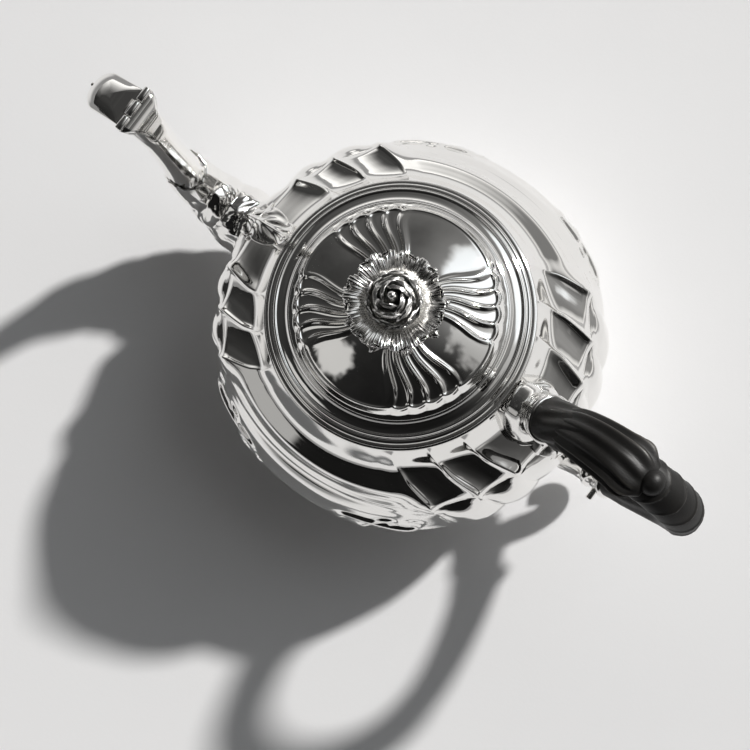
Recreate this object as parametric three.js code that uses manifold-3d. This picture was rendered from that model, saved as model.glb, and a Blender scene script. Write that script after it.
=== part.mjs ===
// A silver teapot: a pear-shaped body with sharp twisted ridges, a swan-neck spout closed by a hinged
// flap, a lift-off domed lid with a rose finial, and a carved black wooden handle in two pinned sockets.
// Millimetres and degrees, +Z up, the spout toward +X, the foot standing on z = 0.

import * as THREE from 'three';
import { mergeVertices } from 'three/addons/utils/BufferGeometryUtils.js';
import Module from 'manifold-3d';

const wasm = await Module();
wasm.setup();

// Clearances
const fitGap = 0.3;
const runningGap = 0.4;
const mergeTolerance = 0.0005;
const cutOverrun = 6;

// Body
const bellyRadius = 68.4;
const bellyHeight = 41;
const creaseInset = 7;
const creaseHeight = 55;
const neckRadius = 44;
const neckHeight = 80;
const baseRadius = 38;
const creaseRadius = bellyRadius - creaseInset;
const bodyWall = 1.6;
const ridgeHeight = 2.1;
const ridgeNeckAngles = [27, 42, 58];
const ridgeCreaseAngles = [17, 30, 45];
const ridgeBaseAngles = [8, 19, 33];
const flutePower = 2.1;
const lobeHeight = 1.5;
const lobeDrop = 0.5;
const creaseFadeShare = 1 / 3;
const sidePanelDrop = 2.8;
const panelColumns = [4, 4, 4, 6];
const shoulderRows = 7;
const upperBellyRows = 3;
const lowerBellyRows = 6;
const innerBellyRows = 4;

// Foot ring and neck collar
const footHeight = 7;
const footRadius = 40.5;
const footWall = 4.5;
const collarHeight = 3;
const collarRadius = 45.2;
const roundSides = 36;

// Strainer pierced through the body behind the spout
const strainerRadius = 2.3;
const strainerPitch = 7;
const strainerRings = 1;
const strainerHeight = 29;
const holeSides = 8;

// Spout
const spoutProjection = 33.3;
const spoutRootHalfHeight = 16.5;
const spoutRootHalfWidth = 12.5;
const spoutWall = 1.6;
const spoutSides = 16;
const spoutSteps = 18;
const spoutLobes = 10;
const spoutLobeShare = 0.05;
const spoutFlats = 4;
const spoutFlatShare = 0.06;
const mouthSlope = 31;
const mouthHeight = 120.2;
const mouthX = bellyRadius + spoutProjection;
const mouthLength = 22;
const mouthHalfWidth = 6.1;
const calyxThickness = 1;
const calyxFromShare = 0.3;
const calyxToShare = 0.42;
const calyxFlareShare = 0.07;

// Spout flap and its hinge
const flapThickness = 1.2;
const flapDome = 1.5;
const flapCurveShare = 0.6;
const flapOverhang = 1;
const knuckleRadius = 1.35;
const hingePinRadius = 0.6;
const hingeLength = 16.6;
const flapNibRadius = 0.8;
const smallSides = 12;

// Lid
const lidRimHeight = 4.7;
const lidRimRadius = 43.3;
const domeRadius = 36.2;
const domeRise = 10.5;
const domeWall = 1.3;
const domeHubRadius = 7;
const bezelRadius = 41.7;
const bezelWall = 1.4;
const bezelDepth = 8;
const fluteDepth = 1.1;
const fluteEdgeAngles = [19, 29.5, 40, 50, 60];
const fluteSway = 3;
const domeColumns = [2, 2, 2, 2, 2, 3];
const domeFall = 6.9;

// Finial
const studRadius = 1.6;
const studBore = 1.9;
const studLength = 20;
const nutRadius = 4.2;
const nutHeight = 2.6;
const nutSides = 6;
const washerRadius = 5.5;
const washerHeight = 0.8;
const hubRadius = 5;
const leafHeight = 1.6;
const leafSpan = 18.5;
const petalSpan = 17;
const petalRise = 6;
const innerPetalSpan = 11.5;
const innerPetalRise = 6.5;
const petalThickness = 1.1;
const petalRoundness = 0.6;
const petalCurl = 1.6;
const leafFlower = { petals: 8, ribs: 16, notch: 0.4, columns: 40, rows: 2 };
const outerFlower = { petals: 7, ribs: 21, notch: 0.22, columns: 63, rows: 3 };
const innerFlower = { petals: 5, ribs: 10, notch: 0.2, columns: 40, rows: 2 };
const budRadius = 7.6;
const budHeight = 15.5;
const budColumns = 24;
const budRows = 8;
const budRoundness = 2.4;
const budLaps = 3;
const budLapShare = 0.14;

// Wooden handle and its two silver sockets
const handleProjection = 50.6;
const handleReach = bellyRadius + handleProjection;
const handleTop = 119.5;
const handleHalfThickness = 6.3;
const handleHalfWidth = 7.6;
const handleSteps = 36;
const handleSides = 12;
const thumbHalfWidth = 8.2;
const thumbHalfThickness = 5;
const thumbEyeRadius = 4.4;
const thumbSteps = 9;
const thumbSides = 20;
const scaleCount = 5;
const scaleDepth = 0.7;
const thumbFlutes = 10;
const woodFluteDepth = 0.5;
const tenonRadius = 4.6;
const upperTenonShare = 0.75;
const lowerTenonShare = 0.6;
const upperSocketLength = 13;
const upperSocketRadius = 8;
const upperSocketStandoff = 17.5;
const upperSocketRise = 8;
const upperSocketTilt = 51;
const lowerSocketLength = 17;
const lowerSocketRadius = 6.3;
const lowerSocketStandoff = 18.6;
const lowerSocketRise = 0.5;
const lowerSocketTilt = 31;
const upperPinRadius = 1;
const lowerPinRadius = 1.2;
const lowerPinProud = 3.2;
const pinInset = 4;
const scrollRadius = 4;
const scrollWidthShare = 1.3;
const scrollSteps = 14;
const scrollSides = 12;
const beadRadius = 1;

const upperSocketX = neckRadius + upperSocketStandoff;
const upperSocketHeight = neckHeight + upperSocketRise;
const lowerSocketX = bellyRadius + lowerSocketStandoff;
const lowerSocketHeight = bellyHeight + lowerSocketRise;

// Applied leaves that lie on the body
const appliedThickness = 1.3;
const spoutLeafHalfWidth = 9;
const upperLeafHalfWidth = 10;
const upperLeafLength = 30;
const footSearchSteps = 60;

const silver = () => new THREE.MeshStandardMaterial({ color: 0xc9c9c6, roughness: 0.12, metalness: 1 });
const wood = () => new THREE.MeshStandardMaterial({ color: 0x24221f, roughness: 0.42, metalness: 0 });

const teapot = new THREE.Group();

function addPiece(name, geometry, material) {
  const piece = new THREE.Mesh(geometry, material);
  piece.name = name;
  teapot.add(piece);
}

// Small maths helpers
const radians = THREE.MathUtils.degToRad;
const lerp = THREE.MathUtils.lerp;
const smooth = (t) => THREE.MathUtils.smoothstep(t, 0, 1);
const steps = (count) => Array.from({ length: count + 1 }, (_, i) => i / count);

function signedVolume(positions, index) {
  const a = new THREE.Vector3();
  const b = new THREE.Vector3();
  const c = new THREE.Vector3();
  let total = 0;
  for (let i = 0; i < index.length; i += 3) {
    a.fromBufferAttribute(positions, index[i]);
    b.fromBufferAttribute(positions, index[i + 1]);
    c.fromBufferAttribute(positions, index[i + 2]);
    total += a.dot(b.cross(c));
  }
  return total;
}

// Joins shared vertices, drops faces with no area and turns the rest outward
function clean(geometry) {
  const bare = geometry.clone();
  bare.deleteAttribute('normal');
  bare.deleteAttribute('uv');
  const merged = mergeVertices(bare, mergeTolerance);
  const index = merged.index.array;
  const kept = [];
  for (let i = 0; i < index.length; i += 3) {
    const [a, b, c] = [index[i], index[i + 1], index[i + 2]];
    if (a !== b && b !== c && c !== a) kept.push(a, b, c);
  }
  if (signedVolume(merged.attributes.position, kept) < 0) kept.reverse();
  merged.setIndex(kept);
  return merged;
}

function toManifold(geometry) {
  const solid = clean(geometry);
  return new wasm.Manifold(new wasm.Mesh({
    numProp: 3,
    vertProperties: new Float32Array(solid.attributes.position.array),
    triVerts: new Uint32Array(solid.index.array),
  }));
}

function toGeometry(manifold) {
  const mesh = manifold.getMesh();
  const geometry = new THREE.BufferGeometry();
  geometry.setAttribute('position', new THREE.Float32BufferAttribute(mesh.vertProperties, 3));
  geometry.setIndex(Array.from(mesh.triVerts));
  return clean(geometry);
}

const join = (...geometries) => toGeometry(
  geometries.map(toManifold).reduce((whole, next) => whole.add(next)),
);

const cut = (geometry, ...tools) => toGeometry(
  tools.map(toManifold).reduce((whole, next) => whole.subtract(next), toManifold(geometry)),
);

const common = (geometry, other) => toGeometry(toManifold(geometry).intersect(toManifold(other)));

function middle(ring) {
  return ring.reduce((sum, point) => sum.add(point), new THREE.Vector3()).divideScalar(ring.length);
}

// Skins a row of rings. A ring of one point is a pole, open ends are filled to their middle point,
// and looped rings close back on the first one.
function skin(rings, looped = false) {
  const all = rings.slice();
  if (looped) {
    all.push(rings[0]);
  } else {
    if (rings[0].length > 1) all.unshift([middle(rings[0])]);
    if (rings.at(-1).length > 1) all.push([middle(rings.at(-1))]);
  }
  const triangles = [];
  for (let row = 0; row < all.length - 1; row += 1) {
    const [lower, upper] = [all[row], all[row + 1]];
    const count = Math.max(lower.length, upper.length);
    for (let i = 0; i < count; i += 1) {
      const next = (i + 1) % count;
      const [a, b] = lower.length > 1 ? [lower[i], lower[next]] : [lower[0], lower[0]];
      const [c, d] = upper.length > 1 ? [upper[i], upper[next]] : [upper[0], upper[0]];
      if (lower.length > 1) triangles.push(a, b, d);
      if (upper.length > 1) triangles.push(a, d, c);
    }
  }
  return clean(new THREE.BufferGeometry().setFromPoints(triangles));
}

// A ring of revolution from a profile of [radius, height] points that closes on itself
function turned(profile, sides = roundSides) {
  const points = [...profile, profile[0]].map(([radius, height]) => new THREE.Vector2(radius, height));
  return clean(new THREE.LatheGeometry(points, sides).rotateX(Math.PI / 2));
}

// A solid of revolution from a profile that starts and ends on the axis
function turnedSolid(profile, sides = smallSides) {
  const points = profile.map(([radius, height]) => new THREE.Vector2(radius, height));
  return clean(new THREE.LatheGeometry(points, sides).rotateX(Math.PI / 2));
}

// A round bar along Y, centred at (x, y, z)
function crossBar(radius, length, x, y, z, sides = smallSides) {
  return clean(new THREE.CylinderGeometry(radius, radius, length, sides).translate(x, y, z));
}

// Angles around the body where its columns stand, mirrored into all four quadrants
function columnAngles(knots, counts) {
  const quarter = [];
  const marks = [0, ...knots, 90];
  counts.forEach((count, panel) => {
    for (let i = 0; i < count; i += 1) {
      quarter.push({ angle: lerp(marks[panel], marks[panel + 1], i / count), panel, share: i / count });
    }
  });
  const last = { angle: 90, panel: counts.length - 1, share: 1 };
  const second = quarter.slice(1).reverse().map((c) => ({ ...c, angle: 180 - c.angle }));
  const half = [...quarter, last, ...second];
  const end = { ...quarter[0], angle: 180 };
  const mirrored = half.slice(1).reverse().map((c) => ({ ...c, angle: 360 - c.angle }));
  return [...half, end, ...mirrored];
}

// The shoulder's outline as shares of the way out and down from the neck to the crease: steep below
// the neck, flatter over the middle, steep again and then flaring to the crease
const shoulderShares = [
  [0, 0],
  [0.16, 0.22],
  [0.32, 0.44],
  [0.54, 0.57],
  [0.76, 0.67],
  [0.84, 0.8],
  [0.91, 0.91],
  [1, 1],
];

const shoulderCurve = new THREE.SplineCurve(shoulderShares.map(([out, down]) => new THREE.Vector2(
  lerp(neckRadius, creaseRadius, out),
  lerp(neckHeight, creaseHeight, down),
)));

// The body's outline, from the neck (0) by the crease (1) and the belly (2) to the base (3)
function bodyOutline(u) {
  if (u <= 1) return shoulderCurve.getPoint(u);
  if (u <= 2) {
    const turn = (u - 1) * Math.PI / 2;
    return new THREE.Vector2(
      lerp(creaseRadius, bellyRadius, Math.sin(turn)),
      lerp(creaseHeight, bellyHeight, u - 1),
    );
  }
  const turn = (u - 2) * Math.PI / 2;
  return new THREE.Vector2(
    lerp(baseRadius, bellyRadius, Math.cos(turn)),
    lerp(bellyHeight, footHeight, Math.sin(turn)),
  );
}

function outlineNormal(u) {
  const nudge = 0.01;
  const before = bodyOutline(Math.max(u - nudge, 0));
  const after = bodyOutline(Math.min(u + nudge, 3));
  const along = after.sub(before).normalize();
  return new THREE.Vector2(-along.y, along.x);
}

function ridgeAngles(u) {
  const [from, to, share] = u <= 1
    ? [ridgeNeckAngles, ridgeCreaseAngles, smooth(u)]
    : [ridgeCreaseAngles, ridgeBaseAngles, (u - 1) / 2];
  return from.map((angle, i) => lerp(angle, to[i], share));
}

// How far the ridges have given way to the lobes, just below the crease
const belowCrease = (u) => smooth((u - 1) / creaseFadeShare);

const crestHeight = (u) => ridgeHeight * (u <= 1 ? Math.sin(u * Math.PI / 2) : 1 - belowCrease(u));

const lobeFade = (u) => (u <= 1 ? 0 : belowCrease(u) * Math.cos((u - 1) * Math.PI / 4));

// The plain side panels lie a little lower than the ridged ones, most of all at the belly
const sidePanelShare = (u) => Math.sin(u * Math.PI / 3) ** 2;

// How much of a ridge stands at a place across a panel: sharp at its edges, hollow between them
function ridgeShare(panel, share, lastPanel) {
  if (panel === 0) return share ** (2 * flutePower);
  if (panel === lastPanel) return (1 - share) ** (2 * flutePower);
  return Math.abs(2 * share - 1) ** flutePower;
}

// Below the crease each panel swells into a lobe between two valleys
function lobeShare(panel, share, lastPanel) {
  if (panel === 0) return Math.cos(share * Math.PI / 2);
  if (panel === lastPanel) return Math.sin(share * Math.PI / 2);
  return Math.sin(share * Math.PI);
}

function bodyRing(u, offset, ridged = true) {
  const outline = bodyOutline(u);
  const normal = outlineNormal(u);
  const sidePanel = panelColumns.length - 1;
  return columnAngles(ridgeAngles(u), panelColumns).map(({ angle, panel, share }) => {
    const crest = crestHeight(u) * ridgeShare(panel, share, sidePanel);
    const lobe = lobeFade(u) * (lobeHeight * lobeShare(panel, share, sidePanel) - lobeDrop);
    const sunk = panel === sidePanel ? sidePanelShare(u) * sidePanelDrop * smooth(share) : 0;
    const out = (ridged ? crest + lobe : 0) - sunk + offset;
    const radius = outline.x + normal.x * out;
    const turn = radians(angle);
    return new THREE.Vector3(radius * Math.cos(turn), radius * Math.sin(turn), outline.y + normal.y * out);
  });
}

// The levels of the body's rings: the shoulder's bends need the same rows inside and out
const bodyLevels = (lowerRows) => [
  ...steps(shoulderRows),
  ...steps(upperBellyRows).slice(1).map((t) => 1 + t),
  ...steps(lowerRows).slice(1).map((t) => 2 + t),
];
const outerLevels = bodyLevels(lowerBellyRows);
const innerLevels = bodyLevels(innerBellyRows);

const flatRing = (ring, height) => ring.map((p) => new THREE.Vector3(p.x, p.y, height));

function bodyShell() {
  const outer = outerLevels.map((u) => bodyRing(u, 0));
  const innerNeck = flatRing(bodyRing(0, -bodyWall, false), neckHeight);
  const inner = innerLevels.slice(1).map((u) => bodyRing(u, -bodyWall, false));
  const floorHeight = footHeight + bodyWall;
  const innerFloor = flatRing(bodyRing(3, -bodyWall, false), floorHeight);
  inner[inner.length - 1] = innerFloor;
  return skin([
    [new THREE.Vector3(0, 0, footHeight)],
    ...outer.reverse(),
    innerNeck,
    ...inner,
    [new THREE.Vector3(0, 0, floorHeight)],
  ]);
}

// The body as a filled solid with its skin moved out, for cutting what lies against it
function bodyBlock(offset) {
  const rings = outerLevels.map((u) => bodyRing(u, offset));
  const top = flatRing(rings[0], neckHeight + offset);
  const bottom = flatRing(rings.at(-1), footHeight - offset);
  return skin([top, ...rings.slice(1, -1), bottom]);
}

// Holes on a triangular grid, through the wall where the spout's channel starts
function strainerHoles() {
  const holes = [];
  const rowHeight = strainerPitch * Math.sin(Math.PI / 3);
  for (let row = -strainerRings; row <= strainerRings; row += 1) {
    const count = 2 * strainerRings + 1 - Math.abs(row);
    for (let i = 0; i < count; i += 1) {
      const y = (i - (count - 1) / 2) * strainerPitch;
      const height = strainerHeight + row * rowHeight;
      const hole = new THREE.CylinderGeometry(strainerRadius, strainerRadius, bellyRadius / 2, holeSides);
      holes.push(hole.rotateZ(Math.PI / 2).translate(bellyRadius, y, height));
    }
  }
  return holes;
}

function footRing() {
  const inner = footRadius - footWall;
  const step = footHeight / 7;
  return turned([
    [inner, 0],
    [footRadius, 0],
    [footRadius, step],
    [footRadius - step, 2 * step],
    [footRadius - 2 * step, 4 * step],
    [footRadius - 2 * step, 5 * step],
    [baseRadius - fitGap, 6 * step],
    [baseRadius - fitGap, footHeight],
    [inner - step, footHeight],
  ]);
}

function neckCollar() {
  const inner = neckRadius - bodyWall;
  const step = collarHeight / 4;
  return turned([
    [inner, neckHeight],
    [neckRadius, neckHeight],
    [collarRadius, neckHeight + step],
    [collarRadius, neckHeight + 2 * step],
    [neckRadius + step / 2, neckHeight + 3 * step],
    [neckRadius + step / 2, neckHeight + collarHeight],
    [inner, neckHeight + collarHeight],
  ]);
}

// Rings across a path in the plane of the spout and handle. Each table row is [x, z, half thickness,
// half width], and the section gives the unit outline at an angle and a place along the path.
function pathRings(table, count, sides, grow, section) {
  const places = new THREE.CatmullRomCurve3(
    table.map(([x, z]) => new THREE.Vector3(x, 0, z)), false, 'catmullrom', 0.5,
  );
  const sizes = new THREE.CatmullRomCurve3(
    table.map(([, , thick, wide]) => new THREE.Vector3(thick, wide, 0)), false, 'catmullrom', 0.5,
  );
  return steps(count).map((t) => {
    const centre = places.getPoint(t);
    const along = places.getTangent(t);
    const size = sizes.getPoint(t);
    const across = new THREE.Vector3(along.z, 0, -along.x);
    return Array.from({ length: sides }, (_, i) => {
      const turn = 2 * Math.PI * i / sides;
      const swell = section(turn, t);
      return centre.clone()
        .addScaledVector(across, (size.x + grow) * swell * Math.cos(turn))
        .add(new THREE.Vector3(0, (size.y + grow) * swell * Math.sin(turn), 0));
    });
  });
}

// Spout path: how far out it lies, as a share of the way from the belly to the mouth, and how high, as a
// share of the mouth's height. The root's rows then give shares of the root's half height and half width.
const spoutRootShares = [
  [-0.706, 0.207, 0.7, 0.8],
  [-0.03, 0.224, 1, 1],
  [0.387, 0.27, 0.8, 0.84],
  [0.613, 0.333, 0.63, 0.68],
  [0.775, 0.405, 0.48, 0.57],
  [0.853, 0.483, 0.38, 0.49],
  [0.886, 0.579, 0.32, 0.45],
  [0.91, 0.676, 0.3, 0.43],
  [0.943, 0.772, 0.32, 0.44],
];

// The rows at the mouth: how far out and up from it, half thickness as shares of the mouth's length, and
// half width as a share of its own
const spoutMouthShares = [
  [0, -0.852, 0.3, 0.98],
  [0.168, -0.508, 0.38, 1.02],
  [0.436, -0.191, 0.49, 1.02],
  [0.727, 0.126, 0.53, 1.02],
];

const spoutTable = [
  ...spoutRootShares.map(([out, up, thick, wide]) => [
    lerp(bellyRadius, mouthX, out),
    up * mouthHeight,
    thick * spoutRootHalfHeight,
    wide * spoutRootHalfWidth,
  ]),
  ...spoutMouthShares.map(([out, up, thick, wide]) => [
    mouthX + out * mouthLength,
    mouthHeight + up * mouthLength,
    thick * mouthLength,
    wide * mouthHalfWidth,
  ]),
];

// Lobes that fade out where the spout turns upward, and flats above
function spoutSection(turn, t) {
  const lobes = spoutLobeShare * Math.max(0, 1 - 2 * t) * Math.cos(spoutLobes * turn);
  const flats = spoutFlatShare * smooth(2 * t - calyxToShare) * Math.cos(spoutFlats * turn);
  return 1 + lobes - flats;
}

const plainSection = () => 1;

// The mouth's own frame: X along its slope away from the hinge, Z out of the spout
const mouthFrame = new THREE.Matrix4()
  .makeRotationY(radians(mouthSlope))
  .setPosition(mouthX, 0, mouthHeight);

const hingeHeight = knuckleRadius + fitGap;

function inMouth(geometry) {
  return clean(geometry.applyMatrix4(mouthFrame));
}

function spoutBlock(grow) {
  return skin(pathRings(spoutTable, spoutSteps, spoutSides, grow, spoutSection));
}

// Cuts everything above the sloping mouth
function aboveMouth() {
  const size = mouthHeight;
  return inMouth(new THREE.BoxGeometry(size, size, size).translate(0, 0, size / 2));
}

const fixedKnuckleLength = hingeLength / 3 - runningGap;
const fixedKnuckleY = (hingeLength - fixedKnuckleLength) / 2;

// Two end knuckles, each on a lug that rises from the spout's back edge
function fixedKnuckles() {
  return [-1, 1].flatMap((side) => {
    const barrel = crossBar(knuckleRadius, fixedKnuckleLength, 0, side * fixedKnuckleY, hingeHeight);
    const lug = new THREE.BoxGeometry(2 * knuckleRadius, fixedKnuckleLength, hingeHeight + spoutWall)
      .translate(0, side * fixedKnuckleY, (hingeHeight - spoutWall) / 2);
    return [inMouth(barrel), inMouth(lug)];
  });
}

const pinBore = () => inMouth(crossBar(hingePinRadius + fitGap, 2 * hingeLength, 0, 0, hingeHeight));

function spout() {
  const channel = skin(pathRings(spoutTable, spoutSteps, smallSides, -spoutWall, plainSection));
  const tube = cut(spoutBlock(0), channel, bodyBlock(fitGap), aboveMouth());
  return cut(join(tube, ...fixedKnuckles()), pinBore());
}

// A leafy sleeve round the spout's waist, with one point toward each side
function spoutCalyx() {
  const rings = (grow, from, to) => {
    const all = pathRings(spoutTable, 4 * spoutSteps, spoutSides, grow, spoutSection);
    return all.slice(Math.round(from * 4 * spoutSteps), Math.round(to * 4 * spoutSteps) + 1)
      .filter((_, i) => i % 2 === 0);
  };
  const sleeve = rings(calyxThickness + fitGap, calyxFromShare, calyxToShare).map((ring, row, list) => {
    const place = row / (list.length - 1);
    const flare = 1 + calyxFlareShare * (Math.cos(place * Math.PI * 2) - place / 2);
    const centre = middle(ring);
    return ring.map((p) => p.clone().sub(centre).multiplyScalar(flare).add(centre));
  });
  const core = rings(fitGap, calyxFromShare - calyxFlareShare / 2, calyxToShare + calyxFlareShare / 2);
  return cut(skin(sleeve), skin(core));
}

// The flap's outline in the mouth's frame: square at the hinge, round at the tip
function tongueRing(inset, height) {
  const length = mouthLength + flapOverhang - inset;
  const half = mouthHalfWidth + flapOverhang - inset;
  const start = knuckleRadius + runningGap + inset;
  const straight = length - half;
  const tip = Array.from({ length: smallSides + 1 }, (_, i) => {
    const turn = Math.PI * (i / smallSides - 0.5);
    return new THREE.Vector3(straight + half * Math.cos(turn), half * Math.sin(turn), height);
  });
  return [new THREE.Vector3(start, -half, height), ...tip, new THREE.Vector3(start, half, height)];
}

function spoutFlap() {
  const plate = skin([
    tongueRing(0, fitGap),
    tongueRing(0, fitGap + flapThickness),
    tongueRing(mouthHalfWidth / 4, fitGap + flapThickness + flapCurveShare * flapDome),
    tongueRing(mouthHalfWidth / 2, fitGap + flapThickness + flapDome),
  ]);
  const knuckleLength = hingeLength - 2 * fixedKnuckleLength - 2 * runningGap;
  const barrel = crossBar(knuckleRadius, knuckleLength, 0, 0, hingeHeight);
  const neck = new THREE.BoxGeometry(mouthHalfWidth / 2, knuckleLength, flapThickness)
    .translate(mouthHalfWidth / 4, 0, fitGap + flapThickness / 2);
  const nib = new THREE.SphereGeometry(flapNibRadius, holeSides, holeSides)
    .translate(mouthLength + flapOverhang, 0, fitGap + flapThickness / 2);
  return cut(join(inMouth(plate), inMouth(barrel), inMouth(neck), inMouth(nib)), pinBore());
}

function flapHingePin() {
  return inMouth(crossBar(hingePinRadius, hingeLength, 0, 0, hingeHeight));
}

// Lid levels
const lidSeat = neckHeight + collarHeight + fitGap;
const domeSeat = lidSeat + lidRimHeight;
const domeTop = domeSeat + domeWall + domeRise;

function lidRim() {
  const step = lidRimHeight / 6;
  const inner = domeRadius - 2 * domeWall;
  return turned([
    [inner, lidSeat],
    [lidRimRadius - step, lidSeat],
    [lidRimRadius, lidSeat + step],
    [lidRimRadius, lidSeat + 2 * step],
    [lidRimRadius - 2 * step, lidSeat + 3 * step],
    [lidRimRadius - 3 * step, lidSeat + 3 * step],
    [lidRimRadius - 3 * step, lidSeat + 4 * step],
    [domeRadius + 2 * step, lidSeat + 5 * step],
    [domeRadius + fitGap, domeSeat],
    [inner, domeSeat],
  ]);
}

function lidBezel() {
  return turned([
    [bezelRadius - bezelWall, lidSeat - bezelDepth],
    [bezelRadius - bezelWall / 2, lidSeat - bezelDepth],
    [bezelRadius, lidSeat - bezelDepth + bezelWall],
    [bezelRadius, lidSeat],
    [bezelRadius - bezelWall, lidSeat],
  ]);
}

// The dome falls gently to its border, and steeply from there to its seat
const domeRowShares = [0, 0.14, 0.3, 0.48, 0.66, 0.82, 0.92, 1];
const domeBorderShare = 0.92;

function domeHeight(share) {
  const inner = Math.min(1, share / domeBorderShare) ** 2;
  const outer = Math.max(0, share - domeBorderShare) / (1 - domeBorderShare);
  return lerp(domeTop - domeFall * inner, domeSeat + domeWall, outer);
}

// A ring of the fluted dome at a share of its radius, 1 at the edge and 0 at the hub
function domeRing(share, drop) {
  const radius = lerp(domeHubRadius, domeRadius - domeWall / 2, share);
  const height = domeHeight(share) - drop;
  const sway = fluteSway * Math.sin(share * 2 * Math.PI);
  const edges = fluteEdgeAngles.map((angle) => angle + sway);
  return columnAngles(edges, domeColumns).map(({ angle, panel, share: across }) => {
    const fluted = panel > 0 && panel < domeColumns.length - 1;
    const hollow = fluted ? fluteDepth * Math.sin(across * Math.PI) * Math.sin(share * Math.PI) : 0;
    const turn = radians(angle);
    return new THREE.Vector3(radius * Math.cos(turn), radius * Math.sin(turn), height - hollow);
  });
}

function lidDome() {
  const columns = columnAngles(fluteEdgeAngles, domeColumns);
  const flat = (radius, height) => columns.map(({ angle }) => new THREE.Vector3(
    radius * Math.cos(radians(angle)),
    radius * Math.sin(radians(angle)),
    height,
  ));
  const under = domeRowShares.slice(1, -1).filter((_, i) => i % 2 === 0).reverse();
  return skin([
    flat(studBore, domeTop),
    ...domeRowShares.map((t) => domeRing(t, 0)),
    flat(domeRadius, domeSeat + domeWall / 2),
    flat(domeRadius, domeSeat),
    flat(domeRadius - 2 * domeWall, domeSeat),
    ...under.map((t) => domeRing(t, domeWall + fluteDepth)),
    flat(domeHubRadius, domeTop - domeWall),
    flat(studBore, domeTop - domeWall),
  ], true);
}

// Finial levels
const leafBase = domeTop;
const petalBase = leafBase + leafHeight;
const innerPetalBase = petalBase + petalThickness;
const budBase = innerPetalBase + petalThickness;

// A ruffled disc of petals round a flat hub with a hole for the stud
function rosette({ span, base, rise, thickness, petals, ribs, ruffle, notch, columns, rows }) {
  const ring = (share, lift) => Array.from({ length: columns }, (_, i) => {
    const turn = 2 * Math.PI * i / columns;
    const lobe = 1 - notch * (1 - Math.abs(Math.cos(petals * turn / 2)) ** petalRoundness);
    const radius = lerp(hubRadius, span * lobe, share);
    const wave = ruffle * Math.cos(ribs * turn) * share ** 2;
    const height = base + rise * share ** petalCurl + wave + lift;
    return new THREE.Vector3(radius * Math.cos(turn), radius * Math.sin(turn), height);
  });
  const hole = (height) => ring(0, 0).map((p) => p.clone().setZ(0).setLength(studBore).setZ(height));
  const outward = steps(rows).slice(1);
  return skin([
    hole(base),
    ring(0, 0),
    ...outward.map((t) => ring(t, 0)),
    ...outward.slice().reverse().map((t) => ring(t, thickness)),
    ring(0, thickness),
    hole(base + thickness),
  ], true);
}

const finialLeaves = () => rosette({
  span: leafSpan,
  base: leafBase,
  rise: leafHeight / 4,
  thickness: leafHeight,
  ruffle: fitGap,
  ...leafFlower,
});

const outerPetals = () => rosette({
  span: petalSpan,
  base: petalBase,
  rise: petalRise,
  thickness: petalThickness,
  ruffle: 2 * fitGap,
  ...outerFlower,
});

const innerPetals = () => rosette({
  span: innerPetalSpan,
  base: innerPetalBase,
  rise: innerPetalRise,
  thickness: petalThickness,
  ruffle: fitGap,
  ...innerFlower,
});

// A tight bud with petals wound round it, standing on a flat hub with a blind bore for the stud
function rosebud() {
  const ring = (radius, height, wound) => Array.from({ length: budColumns }, (_, i) => {
    const place = i / budColumns;
    const turn = 2 * Math.PI * place;
    const lap = wound ? budLapShare * ((budLaps * (place + height / budHeight)) % 1) : 0;
    const out = radius * (1 - lap);
    return new THREE.Vector3(out * Math.cos(turn), out * Math.sin(turn), height);
  });
  const boreTop = budBase + studLength / 4;
  const swell = steps(budRows).slice(1, -1).map((t) => {
    const radius = lerp(hubRadius, budRadius, Math.sin(Math.min(1, 2 * t) * Math.PI / 2))
      * Math.sqrt(1 - Math.max(0, 2 * t - 1) ** budRoundness);
    return ring(radius, budBase + t * budHeight, true);
  });
  return skin([
    [new THREE.Vector3(0, 0, boreTop)],
    ring(studBore, boreTop, false),
    ring(studBore, budBase, false),
    ring(hubRadius, budBase, false),
    ...swell,
    [new THREE.Vector3(0, 0, budBase + budHeight)],
  ]);
}

const washerTop = domeTop - domeWall;
const nutTop = washerTop - washerHeight;

function finialStud() {
  const top = budBase + studLength / 4 - fitGap;
  return turnedSolid([
    [0, top - studLength - studRadius],
    [studRadius, top - studLength],
    [studRadius, top],
    [0, top],
  ]);
}

const finialWasher = () => turned([
  [studBore, nutTop],
  [washerRadius, nutTop],
  [washerRadius, washerTop],
  [studBore, washerTop],
], smallSides);

const finialNut = () => turned([
  [studBore, nutTop - nutHeight],
  [nutRadius, nutTop - nutHeight],
  [nutRadius, nutTop],
  [studBore, nutTop],
], nutSides);

// Wooden handle path: how far out and up it lies, as shares of the way from a socket's open end to the
// handle's reach and top, then shares of its half thickness and half width. First from the upper socket.
const upperArmShares = [
  [-0.035, 0.002, 0.98, 0.98],
  [0.085, 0.26, 0.98, 1],
  [0.172, 0.469, 0.95, 1],
  [0.286, 0.666, 0.95, 1],
  [0.462, 0.799, 0.92, 1],
  [0.648, 0.753, 0.9, 0.98],
  [0.793, 0.545, 0.95, 0.98],
  [0.876, 0.241, 1.02, 0.95],
];

// Then down to the lower socket
const lowerArmShares = [
  [0.796, 0.571, 0.98, 0.9],
  [0.684, 0.418, 0.86, 0.82],
  [0.498, 0.28, 0.84, 0.78],
  [0.275, 0.15, 0.86, 0.78],
  [-0.023, 0, 0.92, 0.8],
];

const armRow = (fromX, fromHeight, halfThickness, halfWidth) => ([out, up, thick, wide]) => [
  -lerp(fromX, handleReach, out),
  lerp(fromHeight, handleTop, up),
  thick * halfThickness,
  wide * halfWidth,
];

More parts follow.
